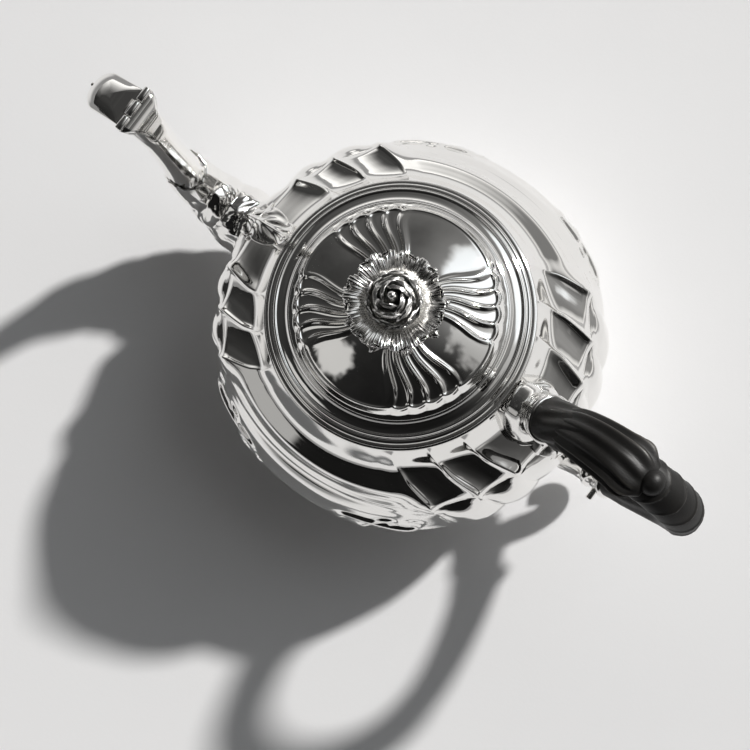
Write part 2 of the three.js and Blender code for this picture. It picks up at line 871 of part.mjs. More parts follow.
const handleTable = [
  ...upperArmShares.map(armRow(upperSocketX, upperSocketHeight, handleHalfThickness, handleHalfWidth)),
  ...lowerArmShares.map(armRow(lowerSocketX, lowerSocketHeight, handleHalfThickness, handleHalfWidth)),
];

// The leaf that caps the upper arm and curls over as a thumb rest
const thumbShares = [
  [0.027, 0.241, 0.3, 0.5],
  [0.141, 0.545, 0.6, 0.86],
  [0.276, 0.753, 0.78, 1],
  [0.43, 0.875, 0.85, 1.08],
  [0.56, 0.895, 0.7, 1.15],
  [0.66, 0.87, 0.45, 0.75],
];

// The scroll's eye at the end of the thumb rest, as shares of the way to the handle's reach and top
const thumbEyeShare = [0.673, 0.873];

const thumbTable = thumbShares.map(
  armRow(upperSocketX, upperSocketHeight, thumbHalfThickness, thumbHalfWidth),
);

// Overlapping scales below the thumb rest, each growing toward its outer edge
const scaleFromShare = 0.34;
const scaleToShare = 0.64;

function handleSection(turn, t) {
  const outside = Math.max(0, Math.cos(turn));
  const along = (t - scaleFromShare) / (scaleToShare - scaleFromShare);
  const scaled = along > 0 && along < 1;
  const scale = scaled ? scaleDepth * ((along * scaleCount) % 1) * outside : 0;
  return 1 + scale / handleHalfThickness;
}

const thumbSection = (turn) => 1 + woodFluteDepth / thumbHalfWidth * Math.cos(thumbFlutes * turn);

// A frame at a socket's open end, with Z along its axis toward the wood
function socketFrame(x, height, tilt) {
  return new THREE.Matrix4()
    .makeRotationY(radians(tilt - 90))
    .setPosition(-x, 0, height);
}

const upperFrame = socketFrame(upperSocketX, upperSocketHeight, upperSocketTilt);
const lowerFrame = socketFrame(lowerSocketX, lowerSocketHeight, lowerSocketTilt);

function tenon(frame, length) {
  const start = -length + fitGap;
  return clean(turnedSolid([
    [0, start],
    [tenonRadius, start],
    [tenonRadius, cutOverrun / 2],
    [0, cutOverrun / 2],
  ]).applyMatrix4(frame));
}

const upperTenonLength = upperTenonShare * upperSocketLength;
const lowerTenonLength = lowerTenonShare * lowerSocketLength;

// Everything on the body's side of a socket's open end
function behindSocket(frame, grow) {
  const size = handleTop / 3;
  return clean(new THREE.BoxGeometry(size, size, size)
    .translate(0, 0, grow - size / 2)
    .applyMatrix4(frame));
}

function pinHole(frame, radius) {
  return clean(crossBar(radius + fitGap, 4 * handleHalfWidth, 0, 0, -pinInset).applyMatrix4(frame));
}

function thumbEye() {
  const [out, up] = thumbEyeShare;
  return clean(new THREE.SphereGeometry(thumbEyeRadius, handleSides, handleSides).translate(
    -lerp(upperSocketX, handleReach, out),
    0,
    lerp(upperSocketHeight, handleTop, up),
  ));
}

function handleWood() {
  const grip = cut(
    skin(pathRings(handleTable, handleSteps, handleSides, 0, handleSection)),
    behindSocket(upperFrame, fitGap),
    behindSocket(lowerFrame, fitGap),
  );
  const thumb = cut(
    skin(pathRings(thumbTable, thumbSteps, thumbSides, 0, thumbSection)),
    behindSocket(upperFrame, fitGap),
  );
  return cut(
    join(grip, thumb, thumbEye(), tenon(upperFrame, upperTenonLength), tenon(lowerFrame, lowerTenonLength)),
    pinHole(upperFrame, upperPinRadius),
    pinHole(lowerFrame, lowerPinRadius),
  );
}

// A sleeve with ring mouldings, longer than needed at the body's end, where the body cuts it
function socketBlock(frame, radius, length) {
  const bead = beadRadius;
  return clean(turnedSolid([
    [0, -length - cutOverrun],
    [radius + bead, -length - cutOverrun],
    [radius + bead, -length + bead],
    [radius, -length + 2 * bead],
    [radius - bead / 2, -length / 2 - bead],
    [radius + bead / 2, -length / 2],
    [radius - bead / 2, -length / 2 + bead],
    [radius - bead / 2, -3 * bead],
    [radius + bead, -2 * bead],
    [radius + bead, -bead],
    [radius, 0],
    [0, 0],
  ], roundSides / 2).applyMatrix4(frame));
}

function socketBore(frame, length) {
  const bore = tenonRadius + fitGap;
  return clean(turnedSolid([
    [0, -length],
    [bore, -length],
    [bore, cutOverrun],
    [0, cutOverrun],
  ]).applyMatrix4(frame));
}

// Keeps the upper socket clear of the collar and the lid above it
function insideCollar() {
  const radius = collarRadius + fitGap;
  const height = handleTop;
  return turnedSolid([
    [0, neckHeight - fitGap],
    [radius, neckHeight - fitGap],
    [radius, neckHeight + height],
    [0, neckHeight + height],
  ], roundSides);
}

function upperSocket() {
  return cut(
    socketBlock(upperFrame, upperSocketRadius, upperSocketLength),
    bodyBlock(fitGap),
    insideCollar(),
    socketBore(upperFrame, upperTenonLength),
    pinHole(upperFrame, upperPinRadius),
  );
}

// The scroll that hangs below the lower socket, as shares of the socket's place and radius
const scrollShares = [
  [-0.855, 0.78, 1.1],
  [-0.885, 0.6, 1],
  [-0.915, 0.42, 0.95],
  [-0.895, 0.28, 0.9],
  [-0.845, 0.265, 0.8],
  [-0.82, 0.34, 0.6],
];

function lowerSocket() {
  const table = scrollShares.map(([x, z, size]) => [
    x * lowerSocketX,
    z * lowerSocketHeight,
    size * scrollRadius,
    size * scrollRadius * scrollWidthShare,
  ]);
  const scroll = skin(pathRings(table, scrollSteps, scrollSides, 0, plainSection));
  return cut(
    join(socketBlock(lowerFrame, lowerSocketRadius, lowerSocketLength), scroll),
    bodyBlock(fitGap),
    socketBore(lowerFrame, lowerTenonLength),
    pinHole(lowerFrame, lowerPinRadius),
  );
}

// The upper pin's ends are almost flush with the sleeve
function upperSocketPin() {
  const length = 2 * (upperSocketRadius - beadRadius / 4);
  return clean(crossBar(upperPinRadius, length, 0, 0, -pinInset).applyMatrix4(upperFrame));
}

// The lower pin stands proud on one side
function lowerSocketPin() {
  const half = lowerSocketRadius + beadRadius / 2;
  const length = 2 * half + lowerPinProud;
  return clean(crossBar(lowerPinRadius, length, 0, lowerPinProud / 2, -pinInset).applyMatrix4(lowerFrame));
}

// A leaf outline seen from above, from its broad root to its tip, as shares of its length and half width
const leafOutlineShares = [
  [0, 0.7],
  [0.12, 1],
  [0.28, 0.72],
  [0.42, 0.86],
  [0.58, 0.5],
  [0.72, 0.56],
  [0.88, 0.24],
  [1, 0],
];

// A prism over a leaf that points from one place on the X axis to another
function leafPrism(fromX, toX, halfWidth, bottom, top) {
  const upper = leafOutlineShares.map(([along, out]) => [lerp(fromX, toX, along), out * halfWidth]);
  const lower = upper.slice(0, -1).reverse().map(([x, y]) => [x, -y]);
  const shape = new THREE.Shape([...upper, ...lower].map(([x, y]) => new THREE.Vector2(x, y)));
  return new THREE.ExtrudeGeometry(shape, { depth: top - bottom, bevelEnabled: false })
    .translate(0, 0, bottom);
}

function appliedLeaf(prism, ...tools) {
  const onBody = common(prism, bodyBlock(fitGap + appliedThickness));
  return cut(onBody, bodyBlock(fitGap), ...tools);
}

// A leaf that climbs the shoulder from the spout's root to the collar
function spoutLeaf() {
  const prism = leafPrism(bellyRadius, collarRadius, spoutLeafHalfWidth, bellyHeight, neckHeight - fitGap);
  return appliedLeaf(prism, spoutBlock(fitGap));
}

// Where the upper socket's axis passes through the shoulder, as its distance out and its height
function upperSocketFoot() {
  const outward = new THREE.Vector3().setFromMatrixColumn(upperFrame, 2);
  const outline = steps(footSearchSteps).map(bodyOutline);
  const missed = (point) => {
    const height = upperSocketHeight + (point.x - upperSocketX) * outward.z / -outward.x;
    return Math.abs(height - point.y);
  };
  return outline.reduce((best, point) => (missed(point) < missed(best) ? point : best));
}

// X down the shoulder's slope from the socket's foot to the belly, Z away from the body
function shoulderFrame(foot) {
  const run = bellyRadius - foot.x;
  const fall = foot.y - bellyHeight;
  const down = new THREE.Vector3(-run, 0, -fall).normalize();
  const outward = new THREE.Vector3(-fall, 0, run).normalize();
  const across = new THREE.Vector3().crossVectors(outward, down);
  return new THREE.Matrix4().makeBasis(down, across, outward).setPosition(-foot.x, 0, foot.y);
}

// A leaf that spreads down the shoulder from the upper socket's foot, clear of the lower socket
function upperSocketLeaf() {
  const upper = socketBlock(upperFrame, upperSocketRadius + fitGap, upperSocketLength);
  const lower = socketBlock(lowerFrame, lowerSocketRadius + fitGap, lowerSocketLength);
  const prism = leafPrism(0, upperLeafLength, upperLeafHalfWidth, -upperLeafLength / 2, upperLeafLength / 2)
    .applyMatrix4(shoulderFrame(upperSocketFoot()));
  return appliedLeaf(prism, upper, lower);
}

// Named pieces
addPiece('body_shell', cut(bodyShell(), ...strainerHoles()), silver());
addPiece('foot_ring', footRing(), silver());
addPiece('neck_collar', neckCollar(), silver());
addPiece('spout', spout(), silver());
addPiece('spout_calyx', spoutCalyx(), silver());
addPiece('spout_leaf', spoutLeaf(), silver());
addPiece('spout_flap', spoutFlap(), silver());
addPiece('flap_hinge_pin', flapHingePin(), silver());
addPiece('lid_rim', lidRim(), silver());
addPiece('lid_bezel', lidBezel(), silver());
addPiece('lid_dome', lidDome(), silver());
addPiece('finial_leaves', finialLeaves(), silver());
addPiece('finial_outer_petals', outerPetals(), silver());
addPiece('finial_inner_petals', innerPetals(), silver());
addPiece('finial_bud', rosebud(), silver());
addPiece('finial_stud', finialStud(), silver());
addPiece('finial_washer', finialWasher(), silver());
addPiece('finial_nut', finialNut(), silver());
addPiece('handle_wood', handleWood(), wood());
addPiece('upper_socket', upperSocket(), silver());
addPiece('lower_socket', lowerSocket(), silver());
addPiece('upper_socket_pin', upperSocketPin(), silver());
addPiece('lower_socket_pin', lowerSocketPin(), silver());
addPiece('upper_socket_leaf', upperSocketLeaf(), silver());

// The origin is under the middle of the whole teapot
const bounds = new THREE.Box3().setFromObject(teapot);
const centre = bounds.getCenter(new THREE.Vector3());
teapot.position.set(-centre.x, -centre.y, -bounds.min.z);

export default teapot;
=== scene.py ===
"""A silver teapot with a carved black handle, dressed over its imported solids.

Lengths are in millimetres from the pot's own upright axis until a mesh is made, then in metres.
"""

import math

import bpy
import numpy as np
from mathutils import Matrix, Vector


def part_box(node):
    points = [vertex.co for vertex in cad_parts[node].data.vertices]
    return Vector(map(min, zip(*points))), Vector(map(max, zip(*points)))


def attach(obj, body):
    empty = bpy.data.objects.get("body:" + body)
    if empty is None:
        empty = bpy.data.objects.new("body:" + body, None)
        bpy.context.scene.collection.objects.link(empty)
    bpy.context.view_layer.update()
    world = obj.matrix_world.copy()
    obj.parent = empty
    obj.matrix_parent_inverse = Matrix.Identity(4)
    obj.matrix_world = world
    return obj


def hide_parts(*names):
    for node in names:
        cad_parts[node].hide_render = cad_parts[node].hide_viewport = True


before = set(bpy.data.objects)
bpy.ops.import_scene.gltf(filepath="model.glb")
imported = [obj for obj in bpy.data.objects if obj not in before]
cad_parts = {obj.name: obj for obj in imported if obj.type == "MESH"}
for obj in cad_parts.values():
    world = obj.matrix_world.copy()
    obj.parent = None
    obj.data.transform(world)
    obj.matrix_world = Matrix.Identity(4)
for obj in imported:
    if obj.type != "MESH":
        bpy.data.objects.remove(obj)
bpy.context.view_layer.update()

MM = 0.001
TAU = 2 * math.pi
TINY = 1e-9
collar_low, collar_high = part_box("neck_collar")
AXIS_X = (collar_low.x + collar_high.x) / 2


# Small sums on arrays

def lerp(a, b, t):
    return a + (b - a) * t


def smooth(t):
    t = np.clip(t, 0, 1)
    return t * t * (3 - 2 * t)


def spread(start, end, count):
    return np.linspace(start, end, count)


def around(count):
    """Angles of a full turn"""
    return spread(0, TAU, count + 1)[:-1]


def joined(*coordinates):
    """Points from their coordinates, each spread to the shape of all"""
    return np.stack(np.broadcast_arrays(*coordinates), -1)


def polar(radius, turn, height):
    """Points at a radius and an angle round the upright axis"""
    return joined(radius * np.cos(turn), radius * np.sin(turn), height)


def bump(distance, width):
    """A soft bump: 1 at no distance, and almost 0 at twice its width"""
    return np.exp(-(distance / width)**2)


def hermite(f, start, end, start_slope, end_slope):
    return (start * (2 * f**3 - 3 * f**2 + 1) + start_slope * (f**3 - 2 * f**2 + f)
            + end * (3 * f**2 - 2 * f**3) + end_slope * (f**3 - f**2))


def catmull(table, t):
    """Uniform Catmull-Rom through the rows of a table, for places 0 to 1"""
    rows = np.asarray(table, float)
    rows = np.vstack([2 * rows[0] - rows[1], rows, 2 * rows[-1] - rows[-2]])
    spans = len(rows) - 3
    place = np.clip(np.asarray(t, float), 0, 1) * spans
    i = np.minimum(place.astype(int), spans - 1)
    f = (place - i)[..., None]
    p0, p1, p2, p3 = rows[i], rows[i + 1], rows[i + 2], rows[i + 3]
    return hermite(f, p1, p2, (p2 - p0) / 2, (p3 - p1) / 2)


def table_curve(keys, x):
    """Reads a table of (place, value, value...) at places that rise, without overshoot"""
    keys = np.asarray(keys, float)
    k, v = keys[:, 0], keys[:, 1:]
    d = np.diff(v, axis=0) / np.diff(k)[:, None]
    product, total = d[1:] * d[:-1], d[1:] + d[:-1]
    slopes = np.vstack([d[:1], np.where(product > 0, 2 * product / (total + TINY), 0), d[-1:]])
    x = np.asarray(x, float)
    i = np.clip(np.searchsorted(k, x, side="right") - 1, 0, len(k) - 2)
    h = (k[i + 1] - k[i])[..., None]
    f = ((np.clip(x, k[0], k[-1]) - k[i]) / (k[i + 1] - k[i]))[..., None]
    return hermite(f, v[i], v[i + 1], h * slopes[i], h * slopes[i + 1])


# Meshes

def grid_quads(rows, columns, looped_rows):
    """Corners of the faces between neighbours of a grid whose columns go round"""
    r = np.arange(rows if looped_rows else rows - 1)
    a, b = np.meshgrid(r, np.arange(columns), indexing="ij")
    a2, b2 = (a + 1) % rows, (b + 1) % columns
    corners = [(a, b), (a, b2), (a2, b2), (a2, b)]
    return joined(*(row * columns + column for row, column in corners)).reshape(-1, 4)


def signed_volume(points, quads, triangles):
    corners = [points[quads[:, [0, 1, 2]]], points[quads[:, [0, 2, 3]]]]
    if len(triangles):
        corners.append(points[triangles])
    corners = np.concatenate(corners)
    return np.einsum("ij,ij->i", corners[:, 0], np.cross(corners[:, 1], corners[:, 2])).sum()


class Shape:
    """Points in millimetres with quads and triangles, collected before they become a mesh"""

    def __init__(self):
        self.points = np.zeros((0, 3))
        self.quads = np.zeros((0, 4), int)
        self.triangles = np.zeros((0, 3), int)

    def add(self, points, quads, triangles=()):
        """Adds one closed skin and turns it outward"""
        points = np.asarray(points, float)
        quads = np.asarray(quads, int).reshape(-1, 4)
        triangles = np.asarray(triangles, int).reshape(-1, 3)
        if signed_volume(points - points.mean(0), quads, triangles) < 0:
            quads, triangles = quads[:, ::-1], triangles[:, ::-1]
        start = len(self.points)
        self.points = np.vstack([self.points, points])
        self.quads = np.vstack([self.quads, quads + start])
        self.triangles = np.vstack([self.triangles, triangles + start])
        return self

    def rings(self, rings, looped=False, poles=(None, None)):
        """Adds a skin over rings of points, closed by a pole at each end or looped back"""
        rings = np.asarray(rings, float)
        count, columns = rings.shape[:2]
        points = rings.reshape(-1, 3)
        quads = grid_quads(count, columns, looped)
        triangles = []
        if not looped:
            ring = np.arange(columns)
            after = (ring + 1) % columns
            ends = ((0, poles[0], (after, ring)), (count - 1, poles[1], (ring, after)))
            for row, pole, (first, second) in ends:
                centre = rings[row].mean(0) if pole is None else np.asarray(pole, float)
                points = np.vstack([points, centre])
                hub = len(points) - 1
                triangles.append(joined(first + row * columns, second + row * columns, hub))
            triangles = np.concatenate(triangles)
        return self.add(points, quads, triangles)


def hollows(points, mesh, gain=1.2, smoothings=3):
    """How deep each vertex lies between its neighbours: above 0 in a recess, below 0 on a crest"""
    edges = np.empty(len(mesh.edges) * 2, int)
    mesh.edges.foreach_get("vertices", edges)
    edges = edges.reshape(-1, 2)
    normals = np.empty(len(points) * 3)
    mesh.vertices.foreach_get("normal", normals)
    normals = normals.reshape(-1, 3)
    count = np.bincount(edges.ravel(), minlength=len(points)) + TINY
    length = np.linalg.norm(points[edges[:, 0]] - points[edges[:, 1]], axis=1)
    reach = sum(np.bincount(edges[:, k], length, len(points)) for k in (0, 1)) / count

    def mean_of_neighbours(values):
        total = np.bincount(edges[:, 0], values[edges[:, 1]], len(points))
        return (total + np.bincount(edges[:, 1], values[edges[:, 0]], len(points))) / count

    pull = joined(*map(mean_of_neighbours, points.T)) - points
    depth = np.einsum("ij,ij->i", pull, normals) / (reach**2 + TINY)
    for _ in range(smoothings):
        depth = (depth + mean_of_neighbours(depth)) / 2
    return depth * gain


def new_object(name, data):
    thing = bpy.data.objects.new(name, data)
    bpy.context.scene.collection.objects.link(thing)
    return thing


def mesh_of(name, shape, axis=AXIS_X):
    """A mesh in metres from a shape in millimetres"""
    mesh = bpy.data.meshes.new(name)
    points = shape.points * MM + np.array([axis, 0, 0])
    mesh.from_pydata(points.tolist(), [], shape.quads.tolist() + shape.triangles.tolist())
    mesh.update()
    return mesh


def finish_piece(name, mesh, body, nodes):
    """Links a mesh as a piece that rides on a body and stands for its nodes, with its recesses and
    crests marked"""
    mesh.polygons.foreach_set("use_smooth", np.ones(len(mesh.polygons), bool))
    points = np.empty(3 * len(mesh.vertices))
    mesh.vertices.foreach_get("co", points)
    depth = hollows(points.reshape(-1, 3) / MM, mesh)
    for mark, value in (("recess", depth), ("crest", -depth)):
        attribute = mesh.attributes.new(mark, "FLOAT", "POINT")
        attribute.data.foreach_set("value", np.clip(value, 0, 1))
    piece = new_object(name, mesh)
    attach(piece, body)
    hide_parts(*nodes)


def make_piece(name, shape, material, body, nodes):
    mesh = mesh_of(name, shape)
    mesh.materials.append(material)
    finish_piece(name, mesh, body, nodes)


def turned(profile, sides=160):
    """Rings of a shape of revolution from (radius, height) points"""
    profile = np.asarray(profile, float)
    return polar(profile[:, :1], around(sides), profile[:, 1:])


def rounded(profile, steps=2, cut=0.25):
    """Rounds a closed (radius, height) profile by cutting its corners again and again"""
    points = np.asarray(profile, float)
    for _ in range(steps):
        after = np.roll(points, -1, axis=0)
        pair = [lerp(points, after, cut), lerp(after, points, cut)]
        points = np.stack(pair, 1).reshape(-1, 2)
    return points


def through(matrix, points):
    """Moves points from a piece's own frame to the pot's"""
    points = np.asarray(points, float)
    return points @ np.array(matrix.to_3x3()).T + np.array(matrix.translation)


def tilted(x, height, degrees):
    return Matrix.Translation((x, 0, height)) @ Matrix.Rotation(math.radians(degrees), 4, "Y")


# Materials

def operator(operation, flipped=False):
    """A method that adds a Math node for one operation"""
    def method(self, other):
        return self.maths(operation, other, flipped)
    return method


class Value:
    """A socket that adds Math nodes when it is used in a sum"""

    def __init__(self, nodes, socket):
        self.nodes = nodes
        self.socket = socket

    def maths(self, operation, other, flipped):
        first, second = (other, self) if flipped else (self, other)
        return self.nodes.add("ShaderNodeMath", {0: first, 1: second}, operation=operation)

    __add__ = operator("ADD")
    __radd__ = operator("ADD", flipped=True)
    __sub__ = operator("SUBTRACT")
    __rsub__ = operator("SUBTRACT", flipped=True)
    __mul__ = operator("MULTIPLY")
    __rmul__ = operator("MULTIPLY", flipped=True)
    __pow__ = operator("POWER")
    least = operator("MINIMUM")
    most = operator("MAXIMUM")

    def between(self, low, high):
        """Eases from 0 at one value to 1 at another"""
        return self.nodes.add("ShaderNodeMapRange", {"Value": self, "From Min": low, "From Max": high},
                              interpolation_type="SMOOTHSTEP")


class Nodes:
    """Adds nodes to one tree from a type, its settings and its sockets' values or links"""

    def __init__(self, tree):
        self.tree = tree
        tree.nodes.clear()

    def add(self, kind, inputs=None, output=0, **settings):
        node = self.tree.nodes.new(kind)
        for name, value in settings.items():
            setattr(node, name, value)
        for name, value in (inputs or {}).items():
            socket = node.inputs[name]
            if isinstance(value, Value):
                self.tree.links.new(value.socket, socket)
            else:
                socket.default_value = value
        return Value(self, node.outputs[output]) if node.outputs else node

    def mix(self, factor, first, second):
        """Blends two colours: the colour sockets of a Mix node are its seventh and eighth"""
        return self.add("ShaderNodeMix", {0: factor, 6: first, 7: second}, output=2, data_type="RGBA")

    def noise(self, place, scale, detail, stretch=None):
        if stretch:
            place = self.add("ShaderNodeMapping", {"Vector": place, "Scale": stretch})
        return self.add("ShaderNodeTexNoise", {"Vector": place, "Scale": scale, "Detail": detail})

    def mark(self, name):
        """What the mesh says of each vertex"""
        return self.add("ShaderNodeAttribute", attribute_name=name, output="Fac")

    def surface(self, height, strength, distance, inputs):
        """The material's shader over fine relief"""
        relief = self.add("ShaderNodeBump", {
            "Height": height, "Strength": strength, "Distance": distance})
        shader = self.add("ShaderNodeBsdfPrincipled", {"Normal": relief, **inputs})
        self.add("ShaderNodeOutputMaterial", {"Surface": shader})


def node_group(name, **kinds):
    """An empty geometry node group with named inputs, and the values that they bring"""
    tree = bpy.data.node_groups.new(name, "GeometryNodeTree")
    for key, kind in {"Geometry": "Geometry", **kinds}.items():
        tree.interface.new_socket(key, in_out="INPUT", socket_type="NodeSocket" + kind)
    tree.interface.new_socket("Geometry", in_out="OUTPUT", socket_type="NodeSocketGeometry")
    nodes = Nodes(tree)
    return nodes, {key: nodes.add("NodeGroupInput", output=key) for key in ("Geometry", *kinds)}


def whorl_group():
    """Stands copies of a petal round an upright axis, each a little uneven and over its neighbour"""
    nodes, given = node_group("petal_whorl", Material="Material", Count="Int", Phase="Float",
                              Lean="Float", Uneven="Float", Seed="Int", Base="Vector")
    index = nodes.add("GeometryNodeInputIndex")
    points = nodes.add("GeometryNodeMeshLine", {
        "Count": given["Count"], "Start Location": given["Base"], "Offset": (0, 0, 0)})
    chance = nodes.add("FunctionNodeRandomValue", {2: -1.0, 3: 1.0, "ID": index, "Seed": given["Seed"]},
                       output=1, data_type="FLOAT")
    uneven = chance * given["Uneven"]
    step = nodes.add("ShaderNodeMath", {0: TAU, 1: given["Count"]}, operation="DIVIDE")
    turn = nodes.add("ShaderNodeCombineXYZ", {
        "X": given["Lean"] + uneven, "Y": uneven * 0.5, "Z": index * step + given["Phase"] + uneven})
    copies = nodes.add("GeometryNodeInstanceOnPoints", {
        "Points": points, "Instance": given["Geometry"], "Rotation": turn})
    real = nodes.add("GeometryNodeRealizeInstances", {"Geometry": copies})
    dressed = nodes.add("GeometryNodeSetMaterial", {"Geometry": real, "Material": given["Material"]})
    nodes.add("NodeGroupOutput", {"Geometry": dressed})
    return nodes.tree


def grown(name, shape, group, **inputs):
    """Runs a shape through a node group, and gives the plain mesh that comes out"""
    seedling = new_object(name, mesh_of(name, shape, 0))
    modifier = seedling.modifiers.new("grow", "NODES")
    modifier.node_group = group
    for item in group.interface.items_tree:
        if item.name in inputs:
            modifier[item.identifier] = inputs[item.name]
    view = bpy.context.evaluated_depsgraph_get()
    mesh = bpy.data.meshes.new_from_object(seedling.evaluated_get(view), depsgraph=view)
    bpy.data.objects.remove(seedling)
    return mesh


def new_material(name):
    """A material, its nodes, and the place on the piece that they start from"""
    material = bpy.data.materials.new(name)
    material.use_nodes = True
    nodes = Nodes(material.node_tree)
    return material, nodes, nodes.add("ShaderNodeTexCoord", output="Object")


def silver_material(name, shine, tarnish, wave):
    """Polished silver: soft waves from the hammer, fine rubbing marks and dark left in the recesses"""
    bright, sulphur = (0.955, 0.945, 0.925, 1), (0.19, 0.175, 0.15, 1)
    material, nodes, place = new_material(name)
    cloud = nodes.noise(place, 90.0, 4.0)
    hammer = nodes.noise(place, 70.0, 1.0)
    rub = nodes.noise(place, 900.0, 3.0, stretch=(1.0, 1.0, 9.0))
    dark = (nodes.mark("recess").between(0.12, 0.9) * tarnish).least(1.0)
    breath = cloud.between(0.45, 0.75) * 0.03
    scuffs = rub.between(0.62, 0.8) * 0.05
    nodes.surface(hammer * wave + rub * 0.012, 0.25, 0.0004, {
        "Base Color": nodes.mix(dark, bright, sulphur), "Metallic": 1.0,
        "Roughness": shine + breath + scuffs + dark * 0.25})
    return material


def wood_material():
    """Ebonised wood with a satin polish along the grain; its crests are painted pale as a highlight,
    partly as wear
    """
    black, brown = (0.009, 0.0085, 0.008, 1), (0.021, 0.019, 0.017, 1)
    deep, pale = (0.003, 0.003, 0.003, 1), (0.075, 0.07, 0.063, 1)
    material, nodes, place = new_material("ebonised_wood")
    grain = nodes.noise(place, 420.0, 5.0, stretch=(1.0, 4.0, 4.0))
    worn = nodes.noise(place, 60.0, 3.0).between(0.5, 0.72)
    dark = nodes.mark("recess").between(0.05, 0.6)
    # Painted highlight: the crest mark makes the edges pale and a little glossier, partly as wear
    light = nodes.mark("crest").between(0.12, 0.5)
    colour = nodes.mix(worn * 0.6, black, brown)
    colour = nodes.mix(dark * 0.8, colour, deep)
    # Pale on the crests: painted highlight, partly wear
    colour = nodes.mix(light * 0.8, colour, pale)
    rough = 0.4 + worn * 0.10 + grain * 0.1 + dark * 0.2 - light * 0.1
    nodes.surface(grain, 0.18, 0.0003, {
        "Base Color": colour, "Roughness": rough, "Specular IOR Level": 0.34})
    return material


polished = silver_material("polished_silver", 0.045, 0.75, 0.5)
chased = silver_material("chased_silver", 0.08, 1.0, 0.8)
petal_silver = silver_material("petal_silver", 0.09, 0.5, 0.6)
bud_silver = silver_material("bud_silver", 0.24, 0.3, 0.6)
lining = silver_material("silver_lining", 0.16, 0.5, 1.0)
ebony = wood_material()


# Body: its outline runs from the neck (0) by the crease (1) and the belly (2) to the base (3)

NECK_HEIGHT = 80
BELLY, BASE = (68.4, 40.6), (38, 7)
BODY_WALL = 1.6
RIDGES_AT_NECK = np.array([27, 42, 58.0])
RIDGES_AT_CREASE = np.array([17, 30, 45.0])
RIDGES_AT_BASE = np.array([8, 19, 33.0])
RIDGE_HEIGHT = 2.1
LOBE_HEIGHT = 2.3
LOBE_DROP = 1.0
SIDE_DROP = 2.8

# Outlines as (place, radius, height): the plain sides have a step above the crease, the ridged quarters
# run straight out to it
plain_shoulder = [
    (0, 44, 80), (1 / 7, 46.8, 74.5), (2 / 7, 49.6, 68.9), (2.5 / 7, 51.4, 66.9), (3 / 7, 53.6, 65.4),
    (4 / 7, 57.1, 63.0), (4.5 / 7, 58.2, 61.4), (5 / 7, 58.8, 59.6), (5.5 / 7, 59.4, 58.2),
    (6 / 7, 60.1, 57.3), (0.93, 60.8, 56.6), (1, 61.5, 55.8), (1.03, 61.8, 54.9), (1.07, 62.3, 54.1),
    (1.14, 63.3, 52.7), (1.25, 64.5, 50.6), (1.4, 65.8, 48), (1.6, 67.1, 45), (1.8, 68.0, 42.7),
]
ridged_shoulder = [
    (0, 44, 80), (1 / 7, 46.5, 74.5), (2 / 7, 49.1, 69.2), (2.5 / 7, 50.8, 67.4), (3 / 7, 53.1, 65.8),
    (4 / 7, 56.5, 63.6), (5 / 7, 59.5, 61.6), (5.5 / 7, 60.7, 60.7), (6 / 7, 61.6, 59.7),
    (0.93, 62.1, 58.6), (1, 62.3, 57.4), (1.03, 62.9, 56.9), (1.07, 63.7, 56.2),
    (1.14, 64.7, 55.0), (1.25, 65.7, 52.8), (1.4, 66.7, 49.5), (1.6, 67.6, 45.8), (1.8, 68.2, 42.9),
]


def base_row(u):
    turn = (u - 2) * math.pi / 2
    return (u, lerp(BASE[0], BELLY[0], math.cos(turn)), lerp(BELLY[1], BASE[1], math.sin(turn)))


base_rows = [base_row(u) for u in spread(2, 3, 15)]


class Outline:
    """Radius, height and outward normal along an outline of the body"""

    def __init__(self, table, samples=3001):
        self.places = spread(0, 3, samples)
        self.points = table_curve(table, self.places)
        slope = np.gradient(self.points, self.places, axis=0)
        slope /= np.linalg.norm(slope, axis=1)[:, None]
        self.normals = joined(-slope[:, 1], slope[:, 0])

    def at(self, u):
        columns = (*self.points.T, *self.normals.T)
        return [np.interp(u, self.places, column) for column in columns]


plain_outline = Outline(plain_shoulder + base_rows)
ridged_outline = Outline(ridged_shoulder + base_rows)
steps = np.linalg.norm(np.diff(plain_outline.points, axis=0), axis=1)
length_along = np.concatenate([[0], np.cumsum(steps)])


def u_at_height(z):
    return np.interp(-np.asarray(z, float), -plain_outline.points[:, 1], plain_outline.places)


def ridge_angles(u):
    """The three ridges of a quarter at each level, with the quarter's two ends"""
    u = np.asarray(u, float)[..., None]
    high = lerp(RIDGES_AT_NECK, RIDGES_AT_CREASE, smooth(u))
    low = lerp(RIDGES_AT_CREASE, RIDGES_AT_BASE, np.clip((u - 1) / 2, 0, 1))
    middle = np.where(u <= 1, high, low)
    return np.concatenate([0 * u, middle, 0 * u + 90], -1)


def panel_place(u, degrees):
    """Which panel a place is in, counted from the spout's or handle's line, and how far across it"""
    quarter = np.abs((np.asarray(degrees, float) + 90) % 180 - 90)
    lines = ridge_angles(u)
    panel = np.clip((quarter[..., None] >= lines[..., 1:4]).sum(-1), 0, 3)
    start = np.take_along_axis(lines, panel[..., None], -1)[..., 0]
    end = np.take_along_axis(lines, panel[..., None] + 1, -1)[..., 0]
    return panel, np.clip((quarter - start) / (end - start), 0, 1)


